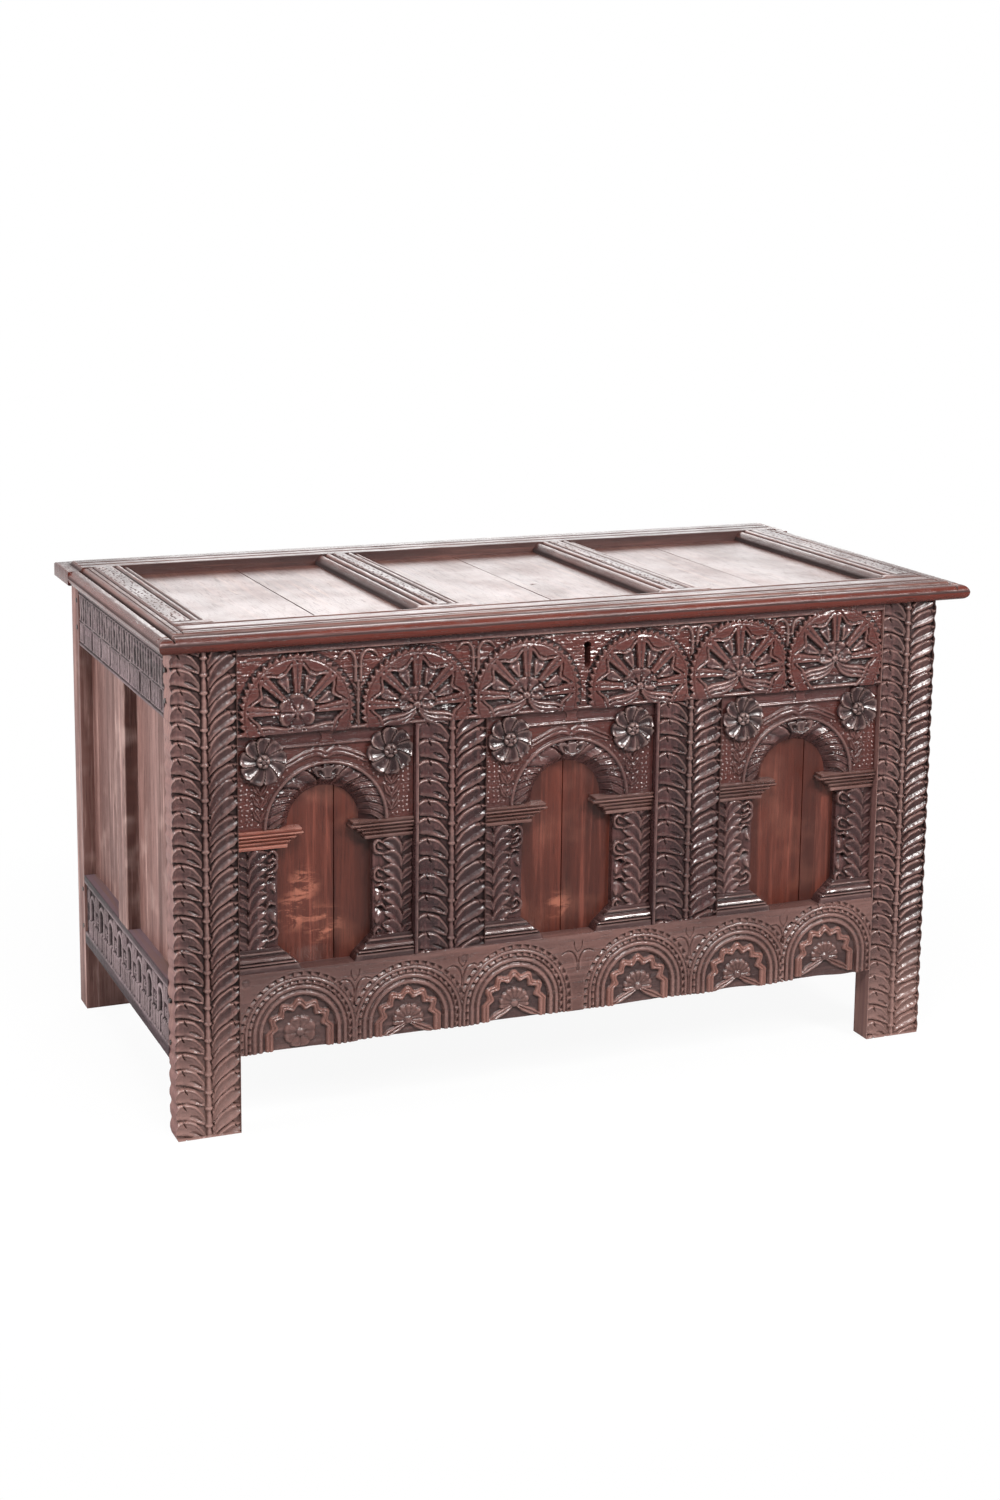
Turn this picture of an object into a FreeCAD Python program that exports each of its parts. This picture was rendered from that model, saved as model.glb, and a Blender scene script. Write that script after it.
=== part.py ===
import FreeCAD, Part
import Sketcher
import math
import os

# A joined oak coffer chest, in millimetres: stiles, rails and muntins held by pegged tenons, panels
# loose in their grooves, three applied arcades on the front, a panelled lid on two strap hinges, and
# a box lock behind the keyhole. +Z is up, the front faces -Y, and the origin lies on the floor under
# the middle of the lid, which is the widest part.

DRIVING_SIZES = [
    # carcass
    ("carcass_length", 1300, "over the corner stiles, left to right"),
    ("carcass_depth", 656, "over the corner stiles, front to back"),
    ("carcass_height", 750, "floor to the underside of the lid"),
    ("foot_height", 120, "floor to the lower edge of the bottom rails"),
    ("front_stile_width", 101, "front corner stile, seen from the front"),
    ("front_stile_depth", 42, "front corner stile, front to back"),
    ("rear_stile_width", 75, "rear corner stile, seen from the back"),
    ("rear_stile_depth", 50, "rear corner stile, front to back"),
    # joints
    ("tenon_length", 30, "tenon beyond its shoulder"),
    ("tenon_thickness", 12, "carcass tenons"),
    ("tenon_shoulder", 15, "shoulder above and below a tenon"),
    ("tenon_gap", 1, "wood between a tenon and the panel groove"),
    ("joint_play", 0.2, "room at the end of a mortise and behind a panel in its groove"),
    ("groove_depth", 9, "panel grooves"),
    ("panel_play", 1, "room for a panel to swell in its groove"),
    ("panel_thickness", 8, "carcass panels"),
    ("board_crack", 1.5, "shrinkage gap between two boards of a panel"),
    ("peg_radius", 4, "oak pegs through the end joints"),
    ("peg_length", 34, "oak pegs"),
    ("peg_stand", 1, "how far a peg stands out of its stile"),
    ("peg_inset", 12, "peg from the shoulder of its joint"),
    ("peg_spread", 28, "peg from the edge of its rail"),
    ("peg_play", 0.05, "around a peg"),
    # front
    ("front_rail_thickness", 40, "rails and muntins of the front"),
    ("front_top_rail", 133, "height of the carved top rail"),
    ("front_bottom_rail", 130, "height of the carved bottom rail"),
    ("front_muntin_width", 117, "carved muntins"),
    ("left_bay_short", 7, "left front bay under a third of the clear front"),
    ("right_bay_wide", 4.5, "right front bay over a third of the clear front"),
    ("front_panel_recess", 28, "front face to the panels behind the arcades"),
    ("left_panel_board", 165, "left board of the left front panel"),
    ("centre_panel_board", 148, "left board of the centre front panel"),
    ("right_panel_board", 175, "left board of the right front panel"),
    # carving of the front
    ("carving_depth", 6.5, "carved ground below the face"),
    ("leaf_crest", 1, "ridge of a leaf below the face"),
    ("leaf_stem", 10, "stem between two columns of leaves"),
    ("stile_stem_offset", 51, "stem from the left edge of a stile"),
    ("muntin_border", 6, "plain edge left of the leaves on a muntin"),
    ("muntin_foot", 40, "plain foot of a muntin below its leaves"),
    ("muntin_stem_offset", 61, "stem from the left edge of a muntin"),
    ("top_border", 10, "plain strip along the top of the top rail"),
    ("fan_radius", 91, "fans of the top rail, over their rims"),
    ("fan_rim", 10, "rope rim of a fan"),
    ("fan_band_radius", 77, "band inside the rim"),
    ("fan_band", 15, "width of that band"),
    ("fan_hub_radius", 29, "shell in the middle of a fan"),
    ("spoke_width", 12, "spokes of a fan"),
    ("fan_bar_width", 14, "twin bars between two fans"),
    ("fan_bar_height", 48, "twin bars between two fans"),
    ("arch_ring_radius", 79, "groove round a compartment of the bottom rail"),
    ("arch_ring", 3, "width of that groove"),
    ("arch_field_radius", 57, "sunk field of a compartment"),
    ("arch_wave_radius", 51, "waved band in the field"),
    ("arch_wave", 11, "width of that band"),
    ("arch_flower_radius", 26, "half flower in the field"),
    # arcades
    ("arcade_gap", 1, "between an arcade and the frame"),
    ("spandrel_recess", 7, "front face to the arch board"),
    ("filler_width", 17, "narrow strip left of each arch board"),
    ("filler_crack", 1, "between that strip and the arch board"),
    ("opening_over_half", 12, "between two pilasters, over half of their bay"),
    ("arch_reveal", 4, "pilaster to the arch at the face of its board"),
    ("soffit_splay", 15, "how much the arch narrows towards the panel"),
    ("arcade_head", 147, "springing of the arches to the top rail"),
    ("impost_height", 30, "moulded imposts"),
    ("impost_recess", 2, "front face to the imposts"),
    ("impost_top_reach", 33, "impost past the pilaster at its top"),
    ("impost_foot_reach", 8, "impost past the pilaster at its foot"),
    ("pilaster_recess", 10, "front face to the pilasters"),
    ("base_height", 35, "moulded bases"),
    ("base_recess", 2, "front face to the bases"),
    ("base_reach", 34, "base past the pilaster at its foot"),
    ("rosette_radius", 38, "applied rosettes"),
    ("rosette_relief", 9, "rosettes off the arch board"),
    ("rosette_inset", 40, "rosette centre from the side of its arcade"),
    ("rosette_drop", 39.5, "rosette centre below the top rail"),
    ("keystone_width", 46, "leaf keystones"),
    ("keystone_height", 22, "leaf keystones"),
    ("keystone_relief", 6, "keystones off the arch board"),
    ("keyhole_width", 10, "keyhole through the top rail"),
    ("keyhole_height", 41, "keyhole through the top rail"),
    ("keyhole_drop", 26, "carcass top to the head of the keyhole"),
    ("keyhole_offset", 18.5, "keyhole right of the middle"),
    # ends
    ("end_rail_thickness", 36, "rails and muntin of the two ends"),
    ("end_top_rail", 102, "height of the fluted end rail"),
    ("end_bottom_rail", 122, "height of the arcaded end rail"),
    ("end_muntin_width", 62, "muntin of each end"),
    ("end_panel_recess", 21, "end face to its panels"),
    # back
    ("rear_rail_thickness", 36, "rails and muntins of the back"),
    ("rear_top_rail", 130, "height of the top rail of the back"),
    ("rear_bottom_rail", 130, "height of the bottom rail of the back"),
    ("rear_muntin_width", 90, "muntins of the back"),
    ("rear_panel_recess", 21, "rear face to its panels"),
    # floor
    ("floor_board_count", 6, "boards across the chest"),
    ("floor_rise", 20, "lower edge of the bottom rails to the floor boards"),
    ("floor_thickness", 12, "floor boards"),
    ("floor_groove", 10, "floor boards into the front and rear rails"),
    ("floor_crack", 0.8, "between two floor boards"),
    # lid
    ("lid_end_overhang", 37.5, "lid past the carcass at each end, before the shift"),
    ("lid_shift", 20, "how far the old lid has crept to the right"),
    ("lid_front_overhang", 10, "lid past the carcass at the front"),
    ("lid_rear_overhang", 55, "lid past the carcass at the back"),
    ("lid_edge_thickness", 24, "moulded edge of the lid"),
    ("lid_frame_thickness", 30, "raised band of the lid frame"),
    ("lid_nose_width", 24, "rounded edge moulding"),
    ("lid_nose_flat", 2, "flat left on the rounded edge"),
    ("lid_rear_ledge", 30, "lower ledge behind the raised band"),
    ("lid_front_rail", 108, "width of the front rail of the lid"),
    ("lid_rear_rail", 108, "width of the rear rail of the lid"),
    ("lid_stile_width", 111, "end stiles of the lid"),
    ("lid_muntin_width", 88, "muntins of the lid"),
    ("lid_moulding_width", 14, "sloping moulding beside a lid panel"),
    ("lid_moulding_drop", 12, "fall of that moulding"),
    ("lid_panel_lip", 4, "wood under the lid panels"),
    ("lid_panel_thickness", 8, "lid panels"),
    ("lid_tenon_thickness", 8, "tenons of the lid frame"),
    ("lid_left_board", 188, "left board of the left lid panel"),
    ("lid_centre_board", 176, "left board of the centre lid panel"),
    ("lid_right_board", 150, "left board of the right lid panel"),
    # hinges
    ("hinge_spread", 840, "between the two hinges"),
    ("hinge_width", 42, "hinge leaves"),
    ("hinge_plate", 3, "thickness of the leaves"),
    ("hinge_barrel_radius", 6, "knuckles"),
    ("hinge_pin_radius", 2.5, "hinge pins"),
    ("hinge_pin_play", 0.05, "around a hinge pin"),
    ("hinge_side_play", 0.4, "between two knuckles"),
    ("hinge_knuckle", 14, "middle knuckle"),
    ("hinge_pocket_play", 0.6, "around the knuckles in the wood"),
    ("hinge_leaf_length", 90, "carcass leaf below its knuckles"),
    ("hinge_strap", 46, "lid leaf in front of its knuckles"),
    ("nail_radius", 1.8, "hinge and lock nails"),
    ("nail_head_radius", 4, "nail heads"),
    ("nail_head_height", 1.5, "nail heads"),
    ("nail_length", 20, "nails with their heads"),
    ("nail_play", 0.05, "around a nail"),
    ("nail_edge", 12, "nail from the end of its leaf"),
    # lock
    ("lock_length", 96, "lock case, left to right"),
    ("lock_height", 74, "lock case"),
    ("lock_depth", 18, "lock case off the rail"),
    ("lock_wall", 2, "plates of the lock case"),
    ("lock_top_drop", 3, "lock case below the top of the carcass"),
    ("lock_flange", 14, "nailing flange at each end of the case"),
    ("staple_width", 10, "staple, front to back"),
    ("staple_thickness", 4, "staple, left to right"),
    ("staple_drop", 34, "staple below the lid"),
    ("staple_plate_length", 44, "plate of the staple under the lid"),
    ("staple_plate_depth", 14, "plate of the staple, front to back"),
    ("staple_play", 1, "around the staple in the case"),
    ("bolt_width", 5, "lock bolt, front to back"),
    ("bolt_height", 7, "lock bolt"),
    ("bolt_play", 0.2, "around the bolt in its guides"),
    ("bolt_tail", 14, "bolt outside the case when drawn back"),
    ("bolt_gap", 2, "bolt short of the staple when drawn back"),
    ("bolt_drop", 22, "bolt below the top of the carcass"),
    ("bolt_guide", 8, "guide block inside the case"),
]

doc = FreeCAD.newDocument("coffer_chest")
sheet = doc.addObject("Spreadsheet::Sheet", "Sizes")
for row, (alias, value, meaning) in enumerate(DRIVING_SIZES, start=1):
    sheet.set(f"A{row}", alias)
    sheet.set(f"B{row}", str(value))
    sheet.set(f"C{row}", meaning)
    sheet.setAlias(f"B{row}", alias)
doc.recompute()


class Size:
    """A length as the text of a FreeCAD expression over the spreadsheet."""

    def __init__(self, text):
        self.text = text

    def __add__(self, other):
        return Size(f"({self.text} + {text_of(other)})")

    def __radd__(self, other):
        return Size(f"({text_of(other)} + {self.text})")

    def __sub__(self, other):
        return Size(f"({self.text} - {text_of(other)})")

    def __rsub__(self, other):
        return Size(f"({text_of(other)} - {self.text})")

    def __mul__(self, other):
        return Size(f"({self.text} * {text_of(other)})")

    def __truediv__(self, other):
        return Size(f"({self.text} / {text_of(other)})")

    def __neg__(self):
        return Size(f"(0 - {self.text})")


def text_of(length):
    """The expression text of a Size or of a plain number."""
    return length.text if isinstance(length, Size) else repr(float(length))


def size(alias):
    """The spreadsheet value with this alias."""
    return Size(f"Sizes.{alias}")


def number(length):
    """What a length works out to now, in millimetres."""
    return float(sheet.evalExpression(text_of(length)))


# ---------------------------------------------------------------- shapes


def bind(item, **paths):
    """Tie properties of an object to lengths; a dot in a property path is written as two underscores."""
    for path, length in paths.items():
        item.setExpression(path.replace("__", "."), text_of(length))


def put(item, west, south, low):
    """Place an object's own origin at this point."""
    bind(item, Placement__Base__x=west, Placement__Base__y=south, Placement__Base__z=low)


def block(label, across, inward, up):
    """A squared piece between two limits on each axis."""
    piece = doc.addObject("Part::Box", label)
    bind(piece, Length=across[1] - across[0], Width=inward[1] - inward[0], Height=up[1] - up[0])
    put(piece, across[0], inward[0], up[0])
    return piece


TURNS = {
    "x": FreeCAD.Rotation(FreeCAD.Vector(0, 1, 0), 90),
    "y": FreeCAD.Rotation(FreeCAD.Vector(1, 0, 0), -90),
    "z": FreeCAD.Rotation(),
    "-x": FreeCAD.Rotation(FreeCAD.Vector(0, 1, 0), -90),
    "-y": FreeCAD.Rotation(FreeCAD.Vector(1, 0, 0), 90),
}


def rod(label, axis, start, radius, length):
    """A round piece from a point along an axis."""
    piece = doc.addObject("Part::Cylinder", label)
    piece.Placement = FreeCAD.Placement(FreeCAD.Vector(), TURNS[axis])
    bind(piece, Radius=radius, Height=length)
    put(piece, *start)
    return piece


def cone(label, axis, start, radii, length):
    """A tapered round piece from a point along an axis."""
    piece = doc.addObject("Part::Cone", label)
    piece.Placement = FreeCAD.Placement(FreeCAD.Vector(), TURNS[axis])
    bind(piece, Radius1=radii[0], Radius2=radii[1], Height=length)
    put(piece, *start)
    return piece


def join(label, pieces):
    """Several shapes made one."""
    if len(pieces) == 1:
        pieces[0].Label = label
        return pieces[0]
    whole = doc.addObject("Part::MultiFuse", label)
    whole.Shapes = pieces
    return whole


def group(label, pieces):
    """Separate solids that share one node."""
    whole = doc.addObject("Part::Compound", label)
    whole.Links = pieces
    return whole


def cut(label, base, tools):
    """A piece with every tool taken out of it."""
    rest = doc.addObject("Part::Cut", label)
    rest.Base = base
    rest.Tool = tools[0] if len(tools) == 1 else join(label + "_tools", tools)
    return rest


def outline(body, role, corners):
    """A closed sketch on one of the body's own planes, every corner held by bound distances."""
    sketch = body.newObject("Sketcher::SketchObject", body.Name + "_outline")
    plane = [feature for feature in body.Origin.OriginFeatures if feature.Role == role][0]
    sketch.AttachmentSupport = (plane, [""])
    sketch.MapMode = "FlatFace"
    points = [FreeCAD.Vector(number(across), number(up), 0) for across, up in corners]
    sketch.addGeometry([Part.LineSegment(point, points[(index + 1) % len(points)])
                        for index, point in enumerate(points)], False)
    held = [Sketcher.Constraint("Coincident", index, 2, (index + 1) % len(points), 1)
            for index in range(len(points))]
    bound = {}
    for index, corner in enumerate(corners):
        for kind, length, axis_line in zip(("DistanceX", "DistanceY"), corner, (-2, -1)):
            if isinstance(length, Size):
                bound[len(held)] = length
                held.append(Sketcher.Constraint(kind, -1, 1, index, 1, number(length)))
            else:
                held.append(Sketcher.Constraint("PointOnObject", index, 1, axis_line))
    sketch.addConstraint(held)
    for place, length in bound.items():
        sketch.setExpression(f"Constraints[{place}]", length.text)
    return sketch


def padded(label, role, corners, length, corner_point, backwards=False):
    """A body whose section is padded by a length and set at a point."""
    body = doc.addObject("PartDesign::Body", label)
    sketch = outline(body, role, corners)
    pad = body.newObject("PartDesign::Pad", label + "_pad")
    pad.Profile = sketch
    pad.Reversed = backwards
    pad.setExpression("Length", text_of(length))
    put(body, *corner_point)
    doc.recompute()
    return body


def rounded(body, chosen, radius):
    """Round the edges of a body's last feature for which chosen(edge) holds."""
    last = body.Tip
    names = [f"Edge{n}" for n, edge in enumerate(last.Shape.Edges, start=1) if chosen(edge)]
    nose = body.newObject("PartDesign::Fillet", body.Name + "_nose")
    nose.Base = (last, names)
    nose.setExpression("Radius", text_of(radius))
    last.Visibility = False
    doc.recompute()
    return body


# ---------------------------------------------------------------- places

NONE = Size("0")
BAY_NAMES = ("left", "centre", "right")
MIDDLE_X = -size("lid_shift")
MIDDLE_Y = (size("lid_front_overhang") - size("lid_rear_overhang")) / 2
LEFT = MIDDLE_X - size("carcass_length") / 2
RIGHT = MIDDLE_X + size("carcass_length") / 2
FRONT = MIDDLE_Y - size("carcass_depth") / 2
BACK = MIDDLE_Y + size("carcass_depth") / 2
FLOOR = Size("0")
TOP = size("carcass_height")
FOOT = size("foot_height")


class Wall:
    """One framed side of the carcass, measured along it from its left or front corner and inward."""

    def __init__(self, name, top_rail, bottom_rail, thickness, recess, first_stile, last_stile, run):
        self.name = name
        self.top_rail = top_rail
        self.bottom_rail = bottom_rail
        self.thickness = thickness
        self.recess = recess
        self.start = first_stile
        self.end = run - last_stile
        self.panel_low = FOOT + bottom_rail
        self.panel_high = TOP - top_rail
        tenon_back = recess - size("tenon_gap")
        self.tenon = (tenon_back - size("tenon_thickness"), tenon_back)
        self.muntins = []
        self.grooves = []
        self.muntin_mortises = []
        self.rail_mortises = []
        self.peg_points = []
        self.peg_holes = []

    def block(self, label, along, inward, up):
        """A squared piece in the wall's own measures."""
        near, far = inward
        if self.name in ("front", "rear"):
            across = (LEFT + along[0], LEFT + along[1])
            depth = (FRONT + near, FRONT + far) if self.name == "front" else (BACK - far, BACK - near)
        else:
            across = (LEFT + near, LEFT + far) if self.name == "left_end" else (RIGHT - far, RIGHT - near)
            depth = (FRONT + along[0], FRONT + along[1])
        return block(label, across, depth, up)

    def bays(self):
        """The openings between stiles and muntins, as limits along the wall."""
        edges = [self.start]
        for first, last in self.muntins:
            edges += [first, last]
        edges.append(self.end)
        return list(zip(edges[0::2], edges[1::2]))

    def slab(self, label, bay, play, room):
        """What a panel fills, with play kept round its edges, or its groove, with room behind it."""
        reach = size("groove_depth")
        along = (bay[0] - reach + play, bay[1] + reach - play)
        inward = (self.recess, self.recess + size("panel_thickness") + room)
        return self.block(label, along, inward, (self.panel_low - reach, self.panel_high + reach - play))

    def panels(self, label):
        """One panel in each bay, loose in its groove."""
        return group(label, [self.slab(f"{label}_{n}", bay, size("panel_play"), NONE)
                             for n, bay in enumerate(self.bays())])

    def prepare(self):
        """The grooves and muntin mortises that the pieces of this wall share."""
        self.grooves = [self.slab(f"{self.name}_groove_{n}", bay, NONE, size("joint_play"))
                        for n, bay in enumerate(self.bays())]
        reach = size("tenon_length") + size("joint_play")
        shoulder = size("tenon_shoulder")
        self.muntin_mortises = [
            self.block(f"{self.name}_muntin_mortise_{n}", (first + shoulder, last - shoulder), self.tenon,
                       (self.panel_low - reach, self.panel_high + reach))
            for n, (first, last) in enumerate(self.muntins)]

    def pegs(self, label, play):
        """The oak pegs of this wall, or their holes."""
        left = self.name == "left_end"
        outside = LEFT - size("peg_stand") if left else RIGHT + size("peg_stand")
        return [rod(f"{label}_{n}", "x" if left else "-x", (outside, FRONT + along, height),
                    size("peg_radius") + play, size("peg_length") + play)
                for n, (along, height) in enumerate(self.peg_points)]


def rail(wall, which, low, high, extra_tools=()):
    """A rail with a tenon at each end, grooved for the panels and mortised for the muntins."""
    label = f"{wall.name}_{which}_rail"
    body = wall.block(label + "_blank", (wall.start, wall.end), (NONE, wall.thickness), (low, high))
    reach = size("tenon_length")
    shoulder = size("tenon_shoulder")
    tenon_up = (low + shoulder, high - shoulder)
    tenons = wall.block(label + "_tenons", (wall.start - reach, wall.end + reach), wall.tenon, tenon_up)
    room = reach + size("joint_play")
    wall.rail_mortises.append(
        wall.block(label + "_mortises", (wall.start - room, wall.end + room), wall.tenon, tenon_up))
    whole = join(label + "_with_tenons", [body, tenons])
    return cut(label, whole, wall.grooves + wall.muntin_mortises + list(extra_tools))


def muntin(wall, label, limits, extra_tools=()):
    """A muntin tenoned into both rails and grooved for the panels beside it."""
    reach = size("tenon_length")
    shoulder = size("tenon_shoulder")
    body = wall.block(label + "_blank", limits, (NONE, wall.thickness), (wall.panel_low, wall.panel_high))
    tenons = wall.block(label + "_tenons", (limits[0] + shoulder, limits[1] - shoulder), wall.tenon,
                        (wall.panel_low - reach, wall.panel_high + reach))
    whole = join(label + "_with_tenons", [body, tenons])
    return cut(label, whole, wall.grooves + list(extra_tools))


# ---------------------------------------------------------------- hinge and lock places

BARREL = size("hinge_barrel_radius")
PLATE = size("hinge_plate")
AXIS_Y = BACK + BARREL - PLATE
AXIS_Z = TOP + PLATE - BARREL
HINGE_CENTRES = [MIDDLE_X - size("hinge_spread") / 2, MIDDLE_X + size("hinge_spread") / 2]
HALF_WIDTH = size("hinge_width") / 2
POCKET = BARREL + size("hinge_pocket_play")
HALF_POCKET = HALF_WIDTH + size("hinge_pocket_play")
LEAF_TOP = AXIS_Z - POCKET
STRAP_BACK = AXIS_Y - POCKET

KEY_X = MIDDLE_X + size("keyhole_offset")
LOCK_FRONT = FRONT + size("front_rail_thickness")
LOCK_BACK = LOCK_FRONT + size("lock_depth")
LOCK_TOP = TOP - size("lock_top_drop")
LOCK_FOOT = LOCK_TOP - size("lock_height")
LOCK_LEFT = KEY_X - size("lock_length") / 2
LOCK_RIGHT = KEY_X + size("lock_length") / 2
BOLT_Z = TOP - size("bolt_drop")
LOCK_MIDDLE_Y = (LOCK_FRONT + LOCK_BACK) / 2


def nail(label, axis, point, play):
    """A wrought nail or its hole: a flat head let in flush, then the shank, along an axis."""
    head = rod(label + "_head", axis, point, size("nail_head_radius") + play, size("nail_head_height"))
    shank = rod(label + "_shank", axis, point, size("nail_radius") + play, size("nail_length") + play)
    return join(label, [head, shank])


HINGE_NAIL_STEPS = [size("nail_edge"), size("hinge_leaf_length") - size("nail_edge")]
STRAP_NAIL_STEPS = [size("nail_edge"), size("hinge_strap") - size("nail_edge")]


def carcass_nail_points():
    """Nails through the carcass leaves, driven forward into the rear rail."""
    points = []
    for centre in HINGE_CENTRES:
        for step in HINGE_NAIL_STEPS:
            points.append((centre, BACK, LEAF_TOP - step))
    return points


def lid_nail_points():
    """Nails through the lid leaves, driven up into the lid."""
    points = []
    for centre in HINGE_CENTRES:
        for step in STRAP_NAIL_STEPS:
            points.append((centre, STRAP_BACK - step, TOP))
    return points


def lock_nail_points():
    """Nails through the flanges of the lock case, driven forward into the front rail."""
    half_flange = size("lock_flange") / 2
    points = []
    for west in (LOCK_LEFT - half_flange, LOCK_RIGHT + half_flange):
        for low in (LOCK_FOOT + size("nail_edge"), LOCK_TOP - size("nail_edge")):
            points.append((west, LOCK_FRONT + size("lock_wall"), low))
    return points


def nails(label, axis, points):
    """A set of nails in one node."""
    return group(label, [nail(f"{label}_{n}", axis, point, NONE) for n, point in enumerate(points)])


def nail_holes(label, axis, points):
    """Holes for a set of nails."""
    play = size("nail_play")
    return [nail(f"{label}_{n}", axis, point, play) for n, point in enumerate(points)]


# ---------------------------------------------------------------- carcass walls

front = Wall("front", size("front_top_rail"), size("front_bottom_rail"), size("front_rail_thickness"),
             size("front_panel_recess"), size("front_stile_width"), size("front_stile_width"),
             size("carcass_length"))
rear = Wall("rear", size("rear_top_rail"), size("rear_bottom_rail"), size("rear_rail_thickness"),
            size("rear_panel_recess"), size("rear_stile_width"), size("rear_stile_width"),
            size("carcass_length"))
ends = [Wall(name, size("end_top_rail"), size("end_bottom_rail"), size("end_rail_thickness"),
             size("end_panel_recess"), size("front_stile_depth"), size("rear_stile_depth"),
             size("carcass_depth")) for name in ("left_end", "right_end")]

bay_count = len(BAY_NAMES)
muntin_count = bay_count - 1
front_third = (front.end - front.start - size("front_muntin_width") * muntin_count) / bay_count
left_muntin_start = front.start + front_third - size("left_bay_short")
right_muntin_end = front.end - front_third - size("right_bay_wide")
front.muntins = [(left_muntin_start, left_muntin_start + size("front_muntin_width")),
                 (right_muntin_end - size("front_muntin_width"), right_muntin_end)]

rear_third = (rear.end - rear.start - size("rear_muntin_width") * muntin_count) / bay_count
muntin_start = rear.start + rear_third
for _ in range(muntin_count):
    rear.muntins.append((muntin_start, muntin_start + size("rear_muntin_width")))
    muntin_start = muntin_start + size("rear_muntin_width") + rear_third

for wall in ends:
    muntin_middle = (wall.start + wall.end) / 2
    half_width = size("end_muntin_width") / 2
    wall.muntins.append((muntin_middle - half_width, muntin_middle + half_width))

for wall in [front, rear] + ends:
    wall.prepare()

# floor boards lie in a groove of the front and rear rails and are notched round the stiles
FLOOR_LOW = FOOT + size("floor_rise")
FLOOR_HIGH = FLOOR_LOW + size("floor_thickness")
FLOOR_FRONT = FRONT + size("front_rail_thickness") - size("floor_groove")
FLOOR_BACK = BACK - size("rear_rail_thickness") + size("floor_groove")
FLOOR_LEFT = LEFT + size("end_rail_thickness")
FLOOR_RIGHT = RIGHT - size("end_rail_thickness")
floor_room = block("floor_room", (FLOOR_LEFT, FLOOR_RIGHT),
                   (FLOOR_FRONT - size("joint_play"), FLOOR_BACK + size("joint_play")),
                   (FLOOR_LOW, FLOOR_HIGH))

keyhole_half = size("keyhole_width") / 2
keyhole_head = TOP - size("keyhole_drop") - keyhole_half
keyhole_foot = keyhole_head - size("keyhole_height") + size("keyhole_width")


def keyhole(label, start, length):
    """A round-ended slot, from front to back."""
    slot = block(label + "_slot", (KEY_X - keyhole_half, KEY_X + keyhole_half), (start, start + length),
                 (keyhole_foot, keyhole_head))
    ends_of_slot = [rod(f"{label}_{n}", "y", (KEY_X, start, height), keyhole_half, length)
                    for n, height in enumerate((keyhole_foot, keyhole_head))]
    return join(label, [slot] + ends_of_slot)


front_keyhole = keyhole("rail_keyhole", FRONT, size("front_rail_thickness"))
lock_nail_holes = nail_holes("lock_nail_hole", "-y", lock_nail_points())

# ---------------------------------------------------------------- carving of the front

FAN_SPOTS = ((0.085, 0.238), (0.259, 0.211), (0.423, 0.216), (0.6, 0.217), (0.761, 0.271), (0.921, 0.354))
ARCH_SPOTS = ((0.086, 0.215), (0.247, 0.183), (0.41, 0.217), (0.607, 0.221), (0.772, 0.2), (0.922, 0.28))
SPOKE_ANGLES = (175, 135, 90, 45, 5)
KEYHOLE_GAP = 2
UPRIGHT = 90
LEAVES_UP_A_STILE = 28
SPARE_LEAVES = 4
LEAF_FALL = 21
LEAF_RISE = 28
LEAF_TILT = 16
X_AXIS = FreeCAD.Vector(1, 0, 0)
Y_AXIS = FreeCAD.Vector(0, 1, 0)
OVER = Size("1")
GROUND = size("carving_depth")
THROUGH = GROUND + OVER
LEAF_PITCH = TOP / LEAVES_UP_A_STILE


def spots_along(low, height, shares):
    """Places on a front rail from their shares of the clear front and of the rail's height."""
    run = front.end - front.start
    return [(LEFT + front.start + run * along, low + height * up) for along, up in shares]


def disc(label, spot, radius, depth):
    """A round form from just before the front face to a depth."""
    return rod(label, "y", (spot[0], FRONT - OVER, spot[1]), radius, OVER + depth)


def ring(label, spot, radius, width, depth):
    """A round band from just before the front face to a depth."""
    outer = disc(label + "_outer", spot, radius, depth)
    return cut(label, outer, [disc(label + "_inner", spot, radius - width, depth)])


def spoke(label, spot, degrees):
    """A bar from the hub of a fan out to its band, at an angle above the horizontal."""
    turn = math.radians(UPRIGHT - degrees)
    half, start = size("spoke_width") / 2, size("fan_hub_radius") / 2
    piece = doc.addObject("Part::Box", label)
    piece.Placement = FreeCAD.Placement(FreeCAD.Vector(), FreeCAD.Rotation(Y_AXIS, UPRIGHT - degrees))
    bind(piece, Length=size("spoke_width"), Width=OVER + THROUGH,
         Height=size("fan_band_radius") - size("fan_band") / 2 - start)
    put(piece, spot[0] - half * math.cos(turn) + start * math.sin(turn), FRONT - OVER,
        spot[1] + half * math.sin(turn) + start * math.cos(turn))
    return piece


def fan(label, spot):
    """The parts of one fan that stand at the face: rim, band, hub and spokes."""
    spokes = [spoke(f"{label}_spoke_{n}", spot, degrees) for n, degrees in enumerate(SPOKE_ANGLES)]
    return [ring(label + "_rim", spot, size("fan_radius"), size("fan_rim"), THROUGH),
            ring(label + "_band", spot, size("fan_band_radius"), size("fan_band"), THROUGH),
            disc(label + "_hub", spot, size("fan_hub_radius"), THROUGH)] + spokes


def fan_bar(label, first, second):
    """The twin bars between two fans, as one form."""
    middle = (first[0] + second[0]) / 2
    half = size("fan_bar_width") / 2
    high = TOP - size("top_border")
    return block(label, (middle - half, middle + half), (FRONT - OVER, FRONT + THROUGH),
                 (high - size("fan_bar_height"), high + OVER))


def top_carving():
    """The ground of the top rail, sunk round six fans and the bars between them."""
    spots = spots_along(front.panel_high, size("front_top_rail"), FAN_SPOTS)
    standing = [form for n, spot in enumerate(spots) for form in fan(f"fan_{n}", spot)]
    for n, (first, second) in enumerate(zip(spots, spots[1:])):
        if n != KEYHOLE_GAP:
            standing.append(fan_bar(f"fan_bar_{n}", first, second))
    field = front.block("top_field", (front.start, front.end), (-OVER, GROUND),
                        (front.panel_high - OVER, TOP - size("top_border")))
    return cut("top_carving", field, standing)


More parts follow.
